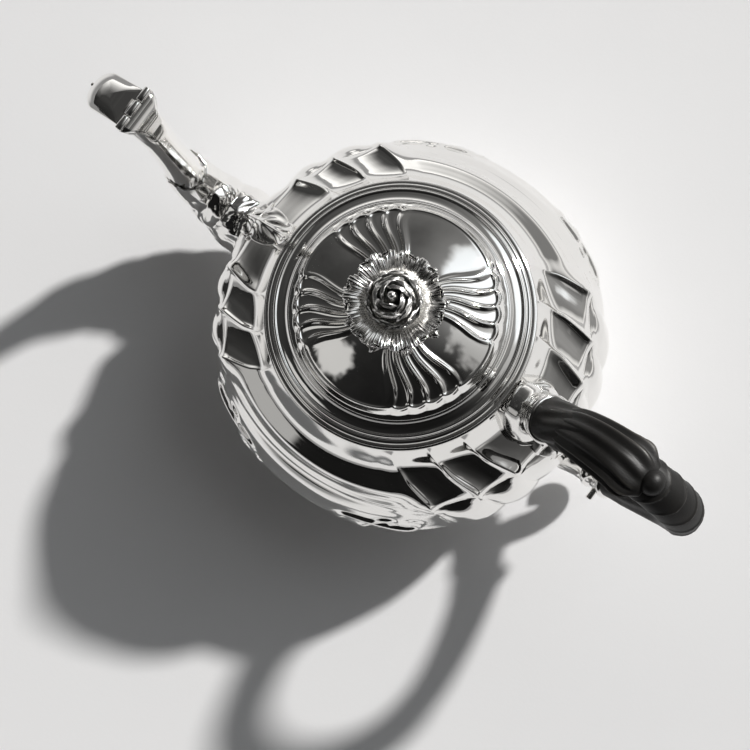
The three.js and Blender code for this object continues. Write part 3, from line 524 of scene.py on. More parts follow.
def ridge_relief(u, panel, share):
    """Sharp crests above the crease, with hollow panels between them, and lobes below it"""
    edge = np.select([panel == 0, panel == 3], [share, 1 - share], np.abs(2 * share - 1))
    power = np.where((panel == 0) | (panel == 3), 4.2, 2.1)
    rise = smooth(u / 0.1) * (0.3 + 0.7 * np.sin(np.clip(u, 0, 1) * math.pi / 2))
    above = RIDGE_HEIGHT * np.where(u <= 1, rise, 1 - smooth((u - 1) / 0.2))
    crest = above * (0.85 * edge**power + 0.3 * smooth((edge - 0.8) / 0.2))
    ends = [np.cos(share * math.pi / 2), np.sin(share * math.pi / 2)]
    swell = np.select([panel == 0, panel == 3], ends, np.sin(share * math.pi))
    fade = smooth((u - 1.03) / 0.3) * np.cos(np.clip(u - 1, 0, 2) * math.pi / 4)
    return crest + fade * (LOBE_HEIGHT * swell**0.8 - LOBE_DROP)


def side_drop(u, panel, share):
    return np.where(panel == 3, SIDE_DROP * np.sin(u * math.pi / 3)**2 * smooth(share), 0)


def body_point(u, degrees, lift=0.0, relief=None):
    """A place on the body's skin, lifted off it along the outline's normal"""
    u, degrees = np.broadcast_arrays(np.asarray(u, float), np.asarray(degrees, float))
    panel, share = panel_place(u, degrees)
    if relief is None:
        relief = ridge_relief(u, panel, share)
    out = relief - side_drop(u, panel, share) + lift
    ridged = np.where(panel == 3, 1 - smooth(share / 0.3), 1)
    both = zip(plain_outline.at(u), ridged_outline.at(u))
    radius, height, normal_r, normal_z = (lerp(plain, other, ridged) for plain, other in both)
    radius = radius + normal_r * out
    return polar(radius, np.radians(degrees), height + normal_z * out)


def outside_body(points, lift=0.0):
    """How far points stand outside the body's skin, level with them"""
    u = u_at_height(points[..., 2])
    degrees = np.degrees(np.arctan2(points[..., 1], points[..., 0]))
    skin = body_point(u, degrees, lift)
    return np.hypot(points[..., 0], points[..., 1]) - np.hypot(skin[..., 0], skin[..., 1])


# Chased scrolls on the plain side panels, drawn flat: along the belly, and down from the crease

def scroll_line(start, heading, length, bend, curl, count=60):
    """A line whose ends curl in: bend is its turn over the whole length, curl the turn of each end"""
    t = spread(0, 1, count)
    turn = heading + bend * t + curl[1] * smooth((t - 0.6) / 0.4)**2
    turn = turn - curl[0] * (1 - smooth(t / 0.4))**2
    step = joined(np.cos(turn), np.sin(turn)) * length / (count - 1)
    line = np.cumsum(step, axis=0)
    return line - line[0] + np.asarray(start, float)


side_scrolls = [
    (scroll_line((-43, 9), -0.55, 46, 0.75, (-3.6, 3.4)), 1.5, 1.1),
    (scroll_line((44, 8), math.pi + 0.5, 44, -0.7, (3.4, -3.6)), 1.5, 1.1),
    (scroll_line((-36, 14), 1.2, 34, -0.9, (3.4, -3.0)), 1.4, 1.0),
    (scroll_line((35, 13), math.pi - 1.2, 34, 0.9, (-3.4, 3.0)), 1.4, 1.0),
    (scroll_line((-15, 38), 0.7, 22, -1.1, (3.2, -2.2)), 1.2, 0.9),
    (scroll_line((17, 36), math.pi - 0.6, 22, 1.1, (-3.2, 2.2)), 1.2, 0.9),
]


def scroll_relief(u, degrees):
    """How high the chased scrolls stand at each place of the side panels"""
    u, degrees = np.broadcast_arrays(u, degrees)
    side = np.where(np.sin(np.radians(degrees)) >= 0, 90.0, 270.0)
    radius = plain_outline.at(u)[0]
    across = np.radians(degrees % 360 - side) * radius * np.where(side == 90, -1, 1)
    crease = np.interp(1, plain_outline.places, length_along)
    down = np.interp(u, plain_outline.places, length_along) - crease
    near = (np.abs(across) < 52) & (down > -2) & (down < 56)
    spots = joined(across[near], down[near])
    raised = np.zeros(len(spots))
    for line, width, height in side_scrolls:
        for a, b, place in zip(line, line[1:], spread(0, 1, len(line) - 1)):
            close = np.abs(spots - (a + b) / 2).max(1) < 3 * width
            part = spots[close]
            along = b - a
            t = np.clip(((part - a) @ along) / (along @ along), 0, 1)
            distance = np.linalg.norm(part - a - t[:, None] * along, axis=1)
            taper = 0.45 + 0.55 * math.sin(math.pi * place)
            reach = np.clip(1 - (distance / (width * taper + 0.4))**2, 0, 1)
            raised[close] = np.maximum(raised[close], height * taper * reach**1.5)
    result = np.zeros(u.shape)
    result[near] = raised
    return result


def whole_turn(quarter):
    """Angles of a whole turn from rows of a quarter's, each quarter the mirror of the one before"""
    ends = np.full((len(quarter), 1), 90.0)
    half = np.concatenate([quarter, ends, 180 - quarter[:, :0:-1]], 1)
    return np.concatenate([half, half + 180], 1)


def body_columns(u, counts=(20, 24, 24, 52), crowding=0.45):
    """Angles round the pot whose columns meet the ridges, closer together beside them"""
    lines = ridge_angles(u)
    panels = []
    for panel, count in enumerate(counts):
        t = np.arange(count) / count
        share = lerp(t, 0.5 - 0.5 * np.cos(math.pi * t), crowding)
        panels.append(lerp(lines[:, panel:panel + 1], lines[:, panel + 1:panel + 2], share))
    return whole_turn(np.concatenate(panels, 1))


def build_body():
    bands = [(0, 0.7, 34), (0.7, 1.15, 46), (1.15, 2, 34), (2, 3, 28)]
    outer_u = np.concatenate([[0.0]] + [spread(*band)[1:] for band in bands])
    angles = body_columns(outer_u)
    panel, share = panel_place(outer_u[:, None] + 0 * angles, angles)
    relief = ridge_relief(outer_u[:, None], panel, share) + scroll_relief(outer_u[:, None], angles)
    outer = body_point(outer_u[:, None], angles, relief=relief)
    inner_u = spread(0, 3, 22)
    inner = body_point(inner_u[:, None], body_columns(inner_u), -BODY_WALL, relief=0.0)
    floor = BASE[1] + BODY_WALL
    inner[0, :, 2] = NECK_HEIGHT
    inner[-1, :, 2] = floor
    shape = Shape().rings(np.concatenate([outer[::-1], inner]), poles=((0, 0, BASE[1]), (0, 0, floor)))
    make_piece("chased_body", shape, polished, "pot", ["body_shell"])


# Rings turned on a lathe, as closed (radius, height) profiles whose corners are then rounded

foot = [
    (36, 0), (40.2, 0), (40.5, 0.6), (40.4, 1.4), (39.2, 1.9), (38.4, 2.6), (37.9, 3.6),
    (37.7, 4.8), (38.6, 5.3), (38.8, 5.9), (38.2, 6.6), (37.5, 7), (35.2, 7), (35, 6),
]
collar = [
    (42.4, 79.6), (43.8, 79.6), (44.6, 80.1), (45.3, 80.5), (45.5, 81.1), (45.2, 81.7),
    (44.5, 81.9), (44.3, 82.2), (44.7, 82.5), (44.7, 82.9), (44.2, 83), (42.5, 83),
]
bezel = [(40.3, 75.3), (41, 75.3), (41.7, 76.6), (41.7, 83.2), (40.4, 83.2)]
lid_rim = [
    (34, 83.3), (42.4, 83.3), (43.2, 83.5), (43.6, 84.0), (43.3, 84.6), (42.6, 84.9),
    (42.1, 84.8), (41.8, 85.2), (41.5, 85.9), (41.0, 86.1), (40.5, 85.8), (40.1, 85.8),
    (39.2, 86.1), (38.2, 86.6), (37.4, 87.2), (36.8, 88.0), (36.45, 88.3), (34, 88),
]


def build_turned_rings():
    for name, node, body, silver, sides, profile in (
            ("turned_foot", "foot_ring", "pot", polished, 160, foot),
            ("moulded_collar", "neck_collar", "pot", polished, 240, collar),
            ("lid_bezel_ring", "lid_bezel", "lid", lining, 120, bezel),
            ("moulded_lid_rim", "lid_rim", "lid", polished, 240, lid_rim)):
        ring = Shape().rings(turned(rounded(profile), sides), looped=True)
        make_piece(name, ring, silver, body, [node])


# Lid

DOME_TOP, DOME_SEAT, DOME_WALL = 99.8, 88.0, 2.6
DOME_HUB, DOME_EDGE, DOME_RIM = 6.5, 32.4, 36.1
STUD_HOLE, SEAT_OUTSIDE, SEAT_INSIDE = 1.9, 36.3, 34.2
FLUTE_EDGES = np.array([19, 29.5, 40, 50, 60.0])
FLUTE_SWAY = 4.4
FLUTE_HEIGHT = 0.9
FLUTE_PANELS = len(FLUTE_EDGES) + 1
PANEL_COLUMNS = 16


def flute_columns(sway):
    """Angles round the lid that meet the flutes' edges, each with its panel and its place in it"""
    sway = sway[:, None]
    edges = np.concatenate([0 * sway, FLUTE_EDGES + sway, 0 * sway + 90], 1)
    t = np.arange(PANEL_COLUMNS) / PANEL_COLUMNS
    quarter = np.concatenate([
        lerp(edges[:, i:i + 1], edges[:, i + 1:i + 2], t) for i in range(FLUTE_PANELS)
    ], 1)
    panel = np.repeat(np.arange(FLUTE_PANELS), PANEL_COLUMNS)
    share = np.tile(t, FLUTE_PANELS)
    panels = np.concatenate([panel, [FLUTE_PANELS - 1], panel[:0:-1]])
    shares = np.concatenate([share, [1], share[:0:-1]])
    return whole_turn(quarter), np.tile(panels, 2), np.tile(shares, 2)


def build_lid_dome():
    """Four groups of five swaying ridges, and a steep scalloped border"""
    share = np.concatenate([spread(0, 0.86, 46), spread(0.86, 1, 26)[1:]])
    angles, panel, across = flute_columns(FLUTE_SWAY * np.sin(share * TAU))
    fluted = (panel > 0) & (panel < FLUTE_PANELS - 1)
    wide = np.where(fluted, across, np.where(panel == 0, 0.5 + 0.5 * across, 0.5 * across))
    arch = np.sin(wide * math.pi)
    edge_radius = DOME_EDGE + np.where(fluted, 0.7 * arch, 1.2 * arch**0.35)
    radius = lerp(DOME_HUB, DOME_RIM, share[:, None])
    inner = np.clip((radius - DOME_HUB) / (edge_radius - DOME_HUB), 0, 1)
    outer = np.clip((radius - edge_radius) / (DOME_RIM - edge_radius), 0, 1)
    steep, cove = np.clip(outer / 0.58, 0, 1), smooth((outer - 0.5) / 0.5)
    height = DOME_TOP - 6.7 * inner**2 - 3.3 * steep - 0.9 * cove
    edge = np.where(fluted, np.abs(2 * across - 1), np.where(panel == 0, across, 1 - across))
    along = np.sin(np.clip((inner - 0.16) / 0.84, 0, 1) * math.pi)**0.5 * (1 - outer)
    hollow = np.where(fluted, FLUTE_HEIGHT * (1 - edge**2), 0)
    near = np.where(fluted, 1, 2.6)
    reach = np.clip(1 - (1 - edge) * near / 0.46, 0, 1)
    crest = FLUTE_HEIGHT * np.sin(reach * math.pi / 2)**1.8
    lip = 0.45 * bump(radius - edge_radius, 0.6)
    turn = np.radians(angles)
    top = polar(radius, turn, height + (crest - hollow) * along + lip)

    def flat(r, z):
        return polar(r, turn[-1], z)[None]

    under_share = spread(0.97, 0, 12)[:, None]
    ceiling = DOME_TOP - DOME_WALL - 8.4 * under_share**2
    under = polar(lerp(DOME_HUB, 35.2, under_share), turn[-1], ceiling)
    rings = np.concatenate([
        flat(STUD_HOLE, DOME_TOP), top, flat(SEAT_OUTSIDE, DOME_SEAT + 0.4),
        flat(SEAT_OUTSIDE, DOME_SEAT), flat(SEAT_INSIDE, DOME_SEAT), under,
        flat(STUD_HOLE, DOME_TOP - DOME_WALL / 2)])
    make_piece("fluted_dome", Shape().rings(rings, looped=True), polished, "lid", ["lid_dome"])


# Profiles of a petal from its root to its rim, as (place, share of its reach, share of its rise)

open_petal = [(0, 0, 0), (0.3, 0.26, 0.42), (0.6, 0.6, 0.84), (0.85, 0.87, 1.0), (1, 1, 0.93)]
cupped_petal = [
    (0, 0, 0), (0.25, 0.62, 0.16), (0.5, 0.9, 0.45), (0.8, 0.97, 0.84), (0.92, 1.0, 0.96), (1, 1.13, 1),
]
bud_petal = [
    (0, 0, 0), (0.25, 0.7, 0.2), (0.5, 1.0, 0.5), (0.75, 0.98, 0.8), (0.9, 0.86, 0.95), (1, 0.8, 1),
]
flat_leaf = [(0, 0, 0), (0.5, 0.5, 0.7), (0.85, 0.86, 1.0), (1, 1, 0.55)]


def petal(profile, root, reach, rise, half_angle, roundness, point, thickness, grid,
          ribs=1, depth=0.25, ruffle=0.1):
    """A petal along +X from a hub: its sides end sooner than its middle, and its rim is beaded"""
    rows, columns = grid
    a = spread(0, 1, rows)[:, None]
    b = spread(-1, 1, columns)[None, :]
    place = a * (1 - roundness * np.abs(b)**point)
    nudge = 0.002
    here, after, before = (table_curve(profile, place + off) for off in (0, nudge, -nudge))
    size = np.array([reach - root, rise])
    slope = (after - before) * size
    slope = slope / (np.linalg.norm(slope, axis=-1)[..., None] + TINY)
    normal = joined(-slope[..., 1], slope[..., 0])
    fold = np.abs(np.cos(ribs * math.pi * b / 2)) - 0.5
    wave = np.sin(3.2 * math.pi * b + 0.8) * a**3 - b**4 * smooth(2 * a)
    lift = depth * fold * smooth(a * 3) + ruffle * wave
    bead = 0.22 * bump(1 - a, 0.05) * (0.6 + fold)
    half = thickness / 2 * (1 - 0.7 * np.abs(b)**8) * (1 - 0.35 * a**6)
    angle = math.radians(half_angle) * b * lerp(0.6, 1, smooth(a * 2.5))
    sides = []
    for off in (lift + half + bead, lift - half - bead):
        flat = here * size + normal * off[..., None]
        sides.append(polar(root + flat[..., 0], angle, flat[..., 1]))
    return Shape().rings(np.concatenate([sides[0], sides[1][:, ::-1]], 1))


def build_finial():
    """A rose: pointed leaves, ribbed outer petals, smooth cupped ones and a bud of two closed whorls"""
    whorl = whorl_group()
    leaf = petal(flat_leaf, 4.0, 17.6, 1.0, 17, 0.5, 1.3, 0.9, (14, 33), 5, ruffle=0.15)
    outer = petal(open_petal, 4.2, 16.4, 4.8, 35, 0.2, 3.4, 0.7, (18, 92), 13, 0.55, 1.0)
    inner = petal(cupped_petal, 3.4, 8.7, 7.6, 50, 0.3, 2.4, 0.9, (20, 44), ruffle=0.2)
    wrapped = petal(bud_petal, 2.4, 6.5, 9.0, 52, 0.3, 2.2, 0.9, (20, 40))
    tight = petal(bud_petal, 1.2, 4.1, 11.0, 62, 0.24, 2.2, 0.8, (20, 36), ruffle=0.05)
    for name, node, shape, silver, base, count, phase, lean, uneven, seed in (
            ("finial_leaf_ring", "leaves", leaf, petal_silver, 100.5, 9, 0.3, 0.0, 0.03, 3),
            ("finial_petals", "outer_petals", outer, petal_silver, 101.9, 6, 0.5, 0.1, 0.05, 5),
            ("finial_inner_ring", "inner_petals", inner, bud_silver, 102.9, 5, 0.2, 0.08, 0.05, 8),
            ("rosebud_wrap", "bud", wrapped, bud_silver, 104.6, 5, 0.75, 0.1, 0.04, 2),
            ("rosebud_core", "bud", tight, bud_silver, 105.4, 4, 0.3, 0.12, 0.04, 4)):
        mesh = grown(name, shape, whorl, Material=silver, Base=(AXIS_X, 0.0, base * MM),
                     Count=count, Phase=phase, Lean=lean, Uneven=uneven, Seed=seed)
        finish_piece(name, mesh, "lid", ["finial_" + node])
    heart = [
        (1.6, 103.7), (3.4, 104.0), (3.6, 106.5), (2.6, 111), (1.7, 115.0), (1.2, 116.6),
        (0.8, 117.0), (1.1, 117.4), (1.3, 118.0), (1.0, 118.6), (0.4, 118.9)]
    make_piece("rosebud_heart", Shape().rings(turned(heart, 36)), bud_silver, "lid", ["finial_bud"])


# Paths of the spout and the handle, in the plane through the pot's axis

def path_point(table, t, turn, swell=1.0, grow=0.0):
    """A place on a skin swept along a table of (x, z, half thickness, half width)"""
    t, turn = np.broadcast_arrays(np.asarray(t, float), np.asarray(turn, float))
    row = catmull(table, t)
    nudge = 1e-4
    along = catmull(table, t + nudge)[..., :2] - catmull(table, t - nudge)[..., :2]
    along = along / np.linalg.norm(along, axis=-1)[..., None]
    out = (row[..., 2] + grow) * swell * np.cos(turn)
    across = (row[..., 3] + grow) * swell * np.sin(turn)
    return joined(row[..., 0] + along[..., 1] * out, across, row[..., 1] - along[..., 0] * out)


def cut_place(sample, height_above, count=500, last=False):
    """For each column of a swept skin, the place where it passes through a surface"""
    t = spread(0, 1, count)[:, None]
    level = height_above(sample(t))
    if last:
        crossing = (level[:-1] > 0) & (level[1:] <= 0)
        row = np.where(crossing.any(0), crossing.argmax(0), len(crossing) - 1)
    else:
        crossing = (level[:-1] <= 0) & (level[1:] > 0)
        row = np.where(crossing.any(0), len(crossing) - 1 - crossing[::-1].argmax(0), 0)
    column = np.arange(level.shape[1])
    a, b = level[row, column], level[row + 1, column]
    f = np.clip(a / (a - b + TINY), 0, 1)
    return (row + f) / (count - 1)


SPOUT_REACH, SPOUT_TOP = 101.7, 120.2
MOUTH = tilted(SPOUT_REACH, SPOUT_TOP, 31)
HINGE_HEIGHT, KNUCKLE_RADIUS = 1.65, 1.35
KNUCKLE_ENDS = [(0, 0.82), (0.12, 0.95), (0.3, 1)]
PIN_ENDS = [(0, 0.7), (0.25, 0.95), (0.5, 1)]


def in_front(matrix, gap=0.3):
    """Distance in front of a socket's open end or the spout's mouth"""
    axis = np.array(matrix.to_3x3() @ Vector((0, 0, 1)))
    origin = np.array(matrix.translation)
    return lambda points: (points - origin) @ axis - gap


def below_mouth(points):
    return -in_front(MOUTH, 0)(points)


def spout_rows(thickness, width, rows):
    return [(lerp(BELLY[0], SPOUT_REACH, a), b * SPOUT_TOP, c * thickness, d * width)
            for a, b, c, d in rows]


spout_table = [
    *spout_rows(16.5, 12.5, [
        (-0.706, 0.207, 0.7, 0.8), (-0.03, 0.224, 1, 1), (0.387, 0.27, 0.8, 0.84),
        (0.613, 0.333, 0.63, 0.68), (0.775, 0.405, 0.48, 0.57), (0.853, 0.483, 0.38, 0.49),
        (0.886, 0.579, 0.32, 0.45), (0.91, 0.676, 0.3, 0.43), (0.943, 0.772, 0.32, 0.44)]),
    *spout_rows(22, 6.1, [
        (1, 0.844, 0.3, 0.98), (1.111, 0.907, 0.38, 1.02), (1.288, 0.965, 0.49, 1.02),
        (1.48, 1.023, 0.53, 1.02)]),
]


def bar(low, high, radius, height, ends, sides):
    """Rings of a bar along its frame's Y, with ends of (inset, share of the radius)"""
    turn = around(sides)
    rows = [(low + inset, share) for inset, share in ends]
    rows += [(high - inset, share) for inset, share in ends[::-1]]
    place, share = np.array(rows).T[..., None]
    reach = radius * share
    return joined(reach * np.cos(turn), place, height + reach * np.sin(turn))


def ball(centre, radii, axes, rows, sides, end):
    """Rings of a ball whose poles lie along its first axis"""
    down, turn = spread(end, math.pi - end, rows)[:, None], around(sides)
    places = (np.cos(down), np.sin(down) * np.cos(turn), np.sin(down) * np.sin(turn))
    ring = np.empty((rows, sides, 3))
    for axis, radius, place in zip(axes, radii, places):
        ring[..., axis] = centre[axis] + radius * place
    return ring


def knuckle(middle, length):
    """A hinge barrel, round the flap's pin"""
    low, high = middle - length / 2, middle + length / 2
    return through(MOUTH, bar(low, high, KNUCKLE_RADIUS, HINGE_HEIGHT, KNUCKLE_ENDS, 28))


def spout_swell(t, turn):
    """Carving of the spout: leafy ridges across its root, then flats with fine edges"""
    lobes = 0.025 * np.maximum(0, 1 - 2 * t) * np.cos(10 * turn)
    flats = 0.06 * smooth(2 * t - 0.42) * np.cos(4 * turn)
    lower = 1 - smooth((t - 0.36) / 0.06)
    chevron = t * 46 + 1.2 * np.abs(np.sin(turn)) - 0.5 * np.cos(2 * turn)
    ridge = 0.08 * (np.abs(np.sin(chevron))**0.8 - 0.7) * lower
    vein = 0.01 * np.cos(18 * turn + 6 * np.sin(40 * t)) * lower
    return 1 + lobes - flats + ridge + vein


def build_spout():
    turn = around(96)
    wall = 1.6

    def outer(t):
        return path_point(spout_table, t, turn, spout_swell(t, turn))

    def inner(t):
        return path_point(spout_table, t, turn, grow=-wall)

    start = cut_place(outer, lambda p: outside_body(p, -0.6))
    end = cut_place(outer, below_mouth, last=True)
    inner_start = cut_place(inner, lambda p: outside_body(p, -BODY_WALL + 0.2))
    inner_end = cut_place(inner, below_mouth, last=True)
    skin = outer(lerp(start, end, spread(0, 1, 190)[:, None]))
    bore = inner(lerp(inner_start, inner_end, spread(1, 0, 40)[:, None]))
    shape = Shape().rings(np.concatenate([skin, bore]), looped=True)
    for side in (-1, 1):
        shape.rings(knuckle(side * 5.7, 5.1))
    gusset = np.array([
        (-1.0, 8.3, 0.9), (1.2, 8.3, 0.9), (1.4, 6.4, -2.4), (0.6, 3.2, -8.0), (-1.2, 3.0, -10.5),
        (-1.9, 4.4, -6.0), (-1.9, 7.4, -1.6)])
    rows = np.stack([lerp(gusset, gusset * (1, -1, 1), share) for share in spread(0, 1, 9)])
    shape.rings(through(MOUTH, rows))
    make_piece("carved_spout", shape, chased, "pot", ["spout"])


def build_flap():
    """The spout's lid: a domed tongue with a rolled edge and a small nib"""
    half, length, start, tip = 7.0, 22.9, 1.75, 6.3
    turn = spread(-math.pi / 2, math.pi / 2, 41)
    side = spread(length - tip, start, 16)[1:]
    back = spread(half, -half, 17)[1:-1]
    outline = np.concatenate([
        joined(length - tip + tip * np.cos(turn), half * np.sin(turn)), joined(side, half),
        joined(start, back), joined(side[::-1], -half)])
    centre = np.array([lerp(start, length, 0.45), 0])
    rows = []
    for share, height in (
            (0.96, 0.3), (1.0, 0.55), (1.02, 1.0), (1.0, 1.5), (0.96, 1.75), (0.9, 1.95),
            (0.8, 2.35), (0.68, 2.75), (0.54, 3.05), (0.4, 3.25), (0.26, 3.37), (0.12, 3.42)):
        flat = centre + (outline - centre) * share
        flat[:, 0] = np.maximum(flat[:, 0], start)
        top = max(0, height - 1.4)
        dip = 0.5 * bump(flat[:, 0] - start, 3.0) * top
        wedge = 0.75 * top * (flat[:, 0] / length - 0.3)
        rows.append(np.column_stack([flat, height - dip + wedge]))
    shape = Shape().rings(through(MOUTH, np.array(rows)))
    shape.rings(knuckle(0, 5.5))
    strap = [[(0.3, y, 1.0), (3.2, y, 0.9), (3.2, y, 1.9), (0.3, y, 2.4)] for y in (-2.6, 2.6)]
    shape.rings(through(MOUTH, np.array(strap)))
    nib = ball((length + 0.1, 0, 1.1), (1.0, 0.9, 0.9), (0, 1, 2), 10, 24, 0.15)
    shape.rings(through(MOUTH, nib))
    make_piece("domed_flap", shape, polished, "flap", ["spout_flap"])


def build_calyx():
    """A sleeve of leaves round the spout's waist whose tips curl away at the sides"""
    turn = around(96)
    rows = spread(0, 1, 30)[:, None]
    tip = 0.5 + 0.5 * np.cos(2 * (turn - math.pi / 2))
    reach = lerp(0.36, 0.39, tip**2)
    t = lerp(0.3, reach, rows)
    flare = 0.012 * rows**3 * tip + 0.015 * np.sin(rows * math.pi)
    rib = 0.02 * np.cos(14 * turn) * rows
    swell = spout_swell(0.42, turn) + flare
    outer = path_point(spout_table, t, turn, swell + rib, 0.7)
    inner = path_point(spout_table, t, turn, swell, 0.1)
    shape = Shape().rings(np.concatenate([outer, inner[::-1]]), looped=True)
    make_piece("leafy_calyx", shape, chased, "pot", ["spout_calyx"])


def build_leaf(name, node, centre, levels, half_width, thickness):
    """An acanthus leaf that lies on the shoulder, with notched edges, a midrib and veins"""
    rows, columns = 70, 48
    a = spread(0, 1, rows)[:, None]
    b = spread(-1, 1, columns)[None, :]
    notch = a * 3.5 * math.pi
    lobes = 0.78 + 0.22 * np.abs(np.cos(notch))**0.7
    width = half_width * lobes * np.sqrt(np.clip(1 - a**2.2, 0.0004, 1)) * lerp(0.75, 1, smooth(a * 5))
    u = lerp(levels[0], levels[1], a + 0.05 * np.abs(b) * np.sin(notch))
    degrees = centre + np.degrees(width * b / plain_outline.at(u)[0])
    crown = 1 - np.abs(b)**2.5
    vein = 0.16 * np.cos(9 * math.pi * (a - 0.35 * np.abs(b))) * smooth(np.abs(b) * 4)
    rib = 0.5 * bump(b, 0.1)
    curl = 0.2 * smooth((np.abs(b) - 0.75) / 0.25)
    lift = 0.15 + thickness * (0.45 + 0.55 * crown) + vein * crown + rib + curl
    top = body_point(u, degrees, lift)
    under = body_point(u, degrees, 0.05)
    make_piece(name, Shape().rings(np.concatenate([top, under[:, ::-1]], 1)), chased, "pot", [node])


# Handle

UPPER_SOCKET = (61.5, 88.0)
LOWER_SOCKET = (87.0, 41.5)
HANDLE_REACH, HANDLE_TOP = 119.0, 119.5
TENON_RADIUS = 4.6
COLLAR_SKIN = 45.9
GRIP_THICKNESS, GRIP_WIDTH = 6.3, 7.6


def arm(start, rows, thickness=GRIP_THICKNESS, width=GRIP_WIDTH):
    return [(-lerp(start[0], HANDLE_REACH, a), lerp(start[1], HANDLE_TOP, b), c * thickness, d * width)
            for a, b, c, d in rows]


handle_table = [
    *arm(UPPER_SOCKET, [
        (-0.035, 0.002, 0.98, 0.98), (0.085, 0.26, 0.98, 1), (0.172, 0.469, 0.95, 1),
        (0.286, 0.666, 0.95, 1), (0.462, 0.799, 0.92, 1), (0.648, 0.753, 0.9, 0.98),
        (0.793, 0.545, 0.95, 0.98), (0.876, 0.241, 1.02, 0.95)]),
    *arm(LOWER_SOCKET, [
        (0.796, 0.571, 0.98, 0.9), (0.684, 0.418, 0.86, 0.82), (0.498, 0.28, 0.84, 0.78),
        (0.275, 0.15, 0.86, 0.78), (-0.023, 0, 0.92, 0.8)]),
]
thumb_table = arm(UPPER_SOCKET, [
    (0.027, 0.241, 0.3, 0.5), (0.141, 0.545, 0.6, 0.86), (0.276, 0.753, 0.78, 1),
    (0.43, 0.875, 0.85, 1.08), (0.56, 0.895, 0.7, 1.15), (0.66, 0.87, 0.45, 0.75)], 5, 8.2)


def socket_frame(place, tilt):
    return tilted(-place[0], place[1], tilt - 90)


UPPER_FRAME = socket_frame(UPPER_SOCKET, 51)
LOWER_FRAME = socket_frame(LOWER_SOCKET, 31)


def grip_swell(t, turn):
    """Carving of the wood: twisted flutes, lapped scales round the far end, then soft flutes"""
    outside = np.clip(np.cos(turn), 0, 1)
    along = (t - 0.4) / 0.3
    step = (along * 6 + 0.8 * (1 - outside)) % 1
    lip = step**1.5 * 0.75 + 0.5 * bump(step - 0.93, 0.05)
    scale = np.where((along > 0) & (along < 1), lip, 0) * outside**0.5
    upper = (1 - smooth((t - 0.36) / 0.06)) * smooth((t - 0.02) / 0.05)
    lower = smooth((t - 0.72) / 0.06) * (1 - smooth((t - 0.93) / 0.05))
    flutes = 0.05 * np.cos(9 * turn + 5 * t * TAU) * upper + 0.035 * np.cos(8 * turn + 14 * t) * lower
    return 1 + 0.115 * scale + flutes


def build_handle():
    turn = around(96)

    def skin(t):
        return path_point(handle_table, t, turn, grip_swell(t, turn))

    start = cut_place(skin, in_front(UPPER_FRAME))
    end = cut_place(skin, in_front(LOWER_FRAME), last=True)
    shape = Shape().rings(skin(lerp(start, end, spread(0, 1, 330)[:, None])))
    leaf_turn = around(108)
    t = spread(0.01, 1, 120)[:, None]
    fade = smooth(t / 0.12) * (1 - smooth((t - 0.82) / 0.15))
    flute = 0.085 * np.cos(11 * leaf_turn + 2.2 * np.sin(t * math.pi * 1.2)) * fade
    shape.rings(path_point(thumb_table, t, leaf_turn, 1 + flute))
    shape.rings(ball((-100.2, 0, 115.5), (4.4, 4.4, 4.4), (1, 0, 2), 24, 36, 0.06))
    for matrix, length in ((UPPER_FRAME, 9.45), (LOWER_FRAME, 9.9)):
        tenon = [(TENON_RADIUS, 3.0), (TENON_RADIUS, -length), (TENON_RADIUS - 0.4, -length - 0.4)]
        shape.rings(through(matrix, turned(tenon, 32)))
    make_piece("carved_handle", shape, ebony, "pot", ["handle_wood"])


# Outer profiles of the sockets as (radius, distance behind the open end)

upper_profile = np.array([
    (4.9, 0), (7.4, 0.05), (8.2, -0.3), (8.5, -0.9), (8.2, -1.5), (7.6, -1.8), (7.5, -2.1), (8, -2.5),
    (8, -3.1), (7.5, -3.5), (7.3, -3.8), (7.8, -4.3), (7.7, -4.9), (7.2, -5.3), (7, -5.7), (7.4, -6.3),
    (7.3, -6.9), (7.4, -7.8), (8.1, -9.2), (9.2, -11), (10.2, -13), (11, -16), (11.6, -19),
])
lower_profile = np.array([
    (4.9, 0), (5.8, 0.05), (6.5, -0.2), (7.1, -0.7), (7.2, -1.3), (6.9, -1.9), (6.4, -2.2),
    (6.2, -2.8), (6.5, -3.2), (6.4, -3.8), (6, -4.4), (5.9, -7), (6.3, -8.2), (6.7, -8.8),
    (6.6, -9.6), (6.1, -10.4), (5.8, -12), (5.7, -15), (6, -18), (6.6, -22),
])


def hold_outside(points):
    """Keeps a skin from passing through the body's wall or the collar: what lies deeper stops there"""
    radius = np.hypot(points[..., 0], points[..., 1])
    below = points[..., 2] < NECK_HEIGHT
    deep = np.clip(outside_body(points, -BODY_WALL / 2), None, 0)
    push = np.where(below, 1 - deep / radius, np.maximum(COLLAR_SKIN / radius, 1))
    return points * joined(push, push, 1)


def socket(matrix, profile, sides, depth, lobe_height=0.0):
    """A sleeve with the tenon's bore, whose skirt may be lobed and stops inside the body's wall"""
    turn = around(sides)
    skirt = smooth((-profile[:, 1:] - 7.5) / 5)
    radius = profile[:, :1] * (1 + lobe_height * skirt * np.cos(3 * turn))
    skin = hold_outside(through(matrix, polar(radius, turn, profile[:, 1:])))
    bore = through(matrix, turned([(TENON_RADIUS + 0.4, -depth), (TENON_RADIUS + 0.3, 0)], sides))
    return Shape().rings(np.concatenate([skin[::-1], bore[::-1]]))


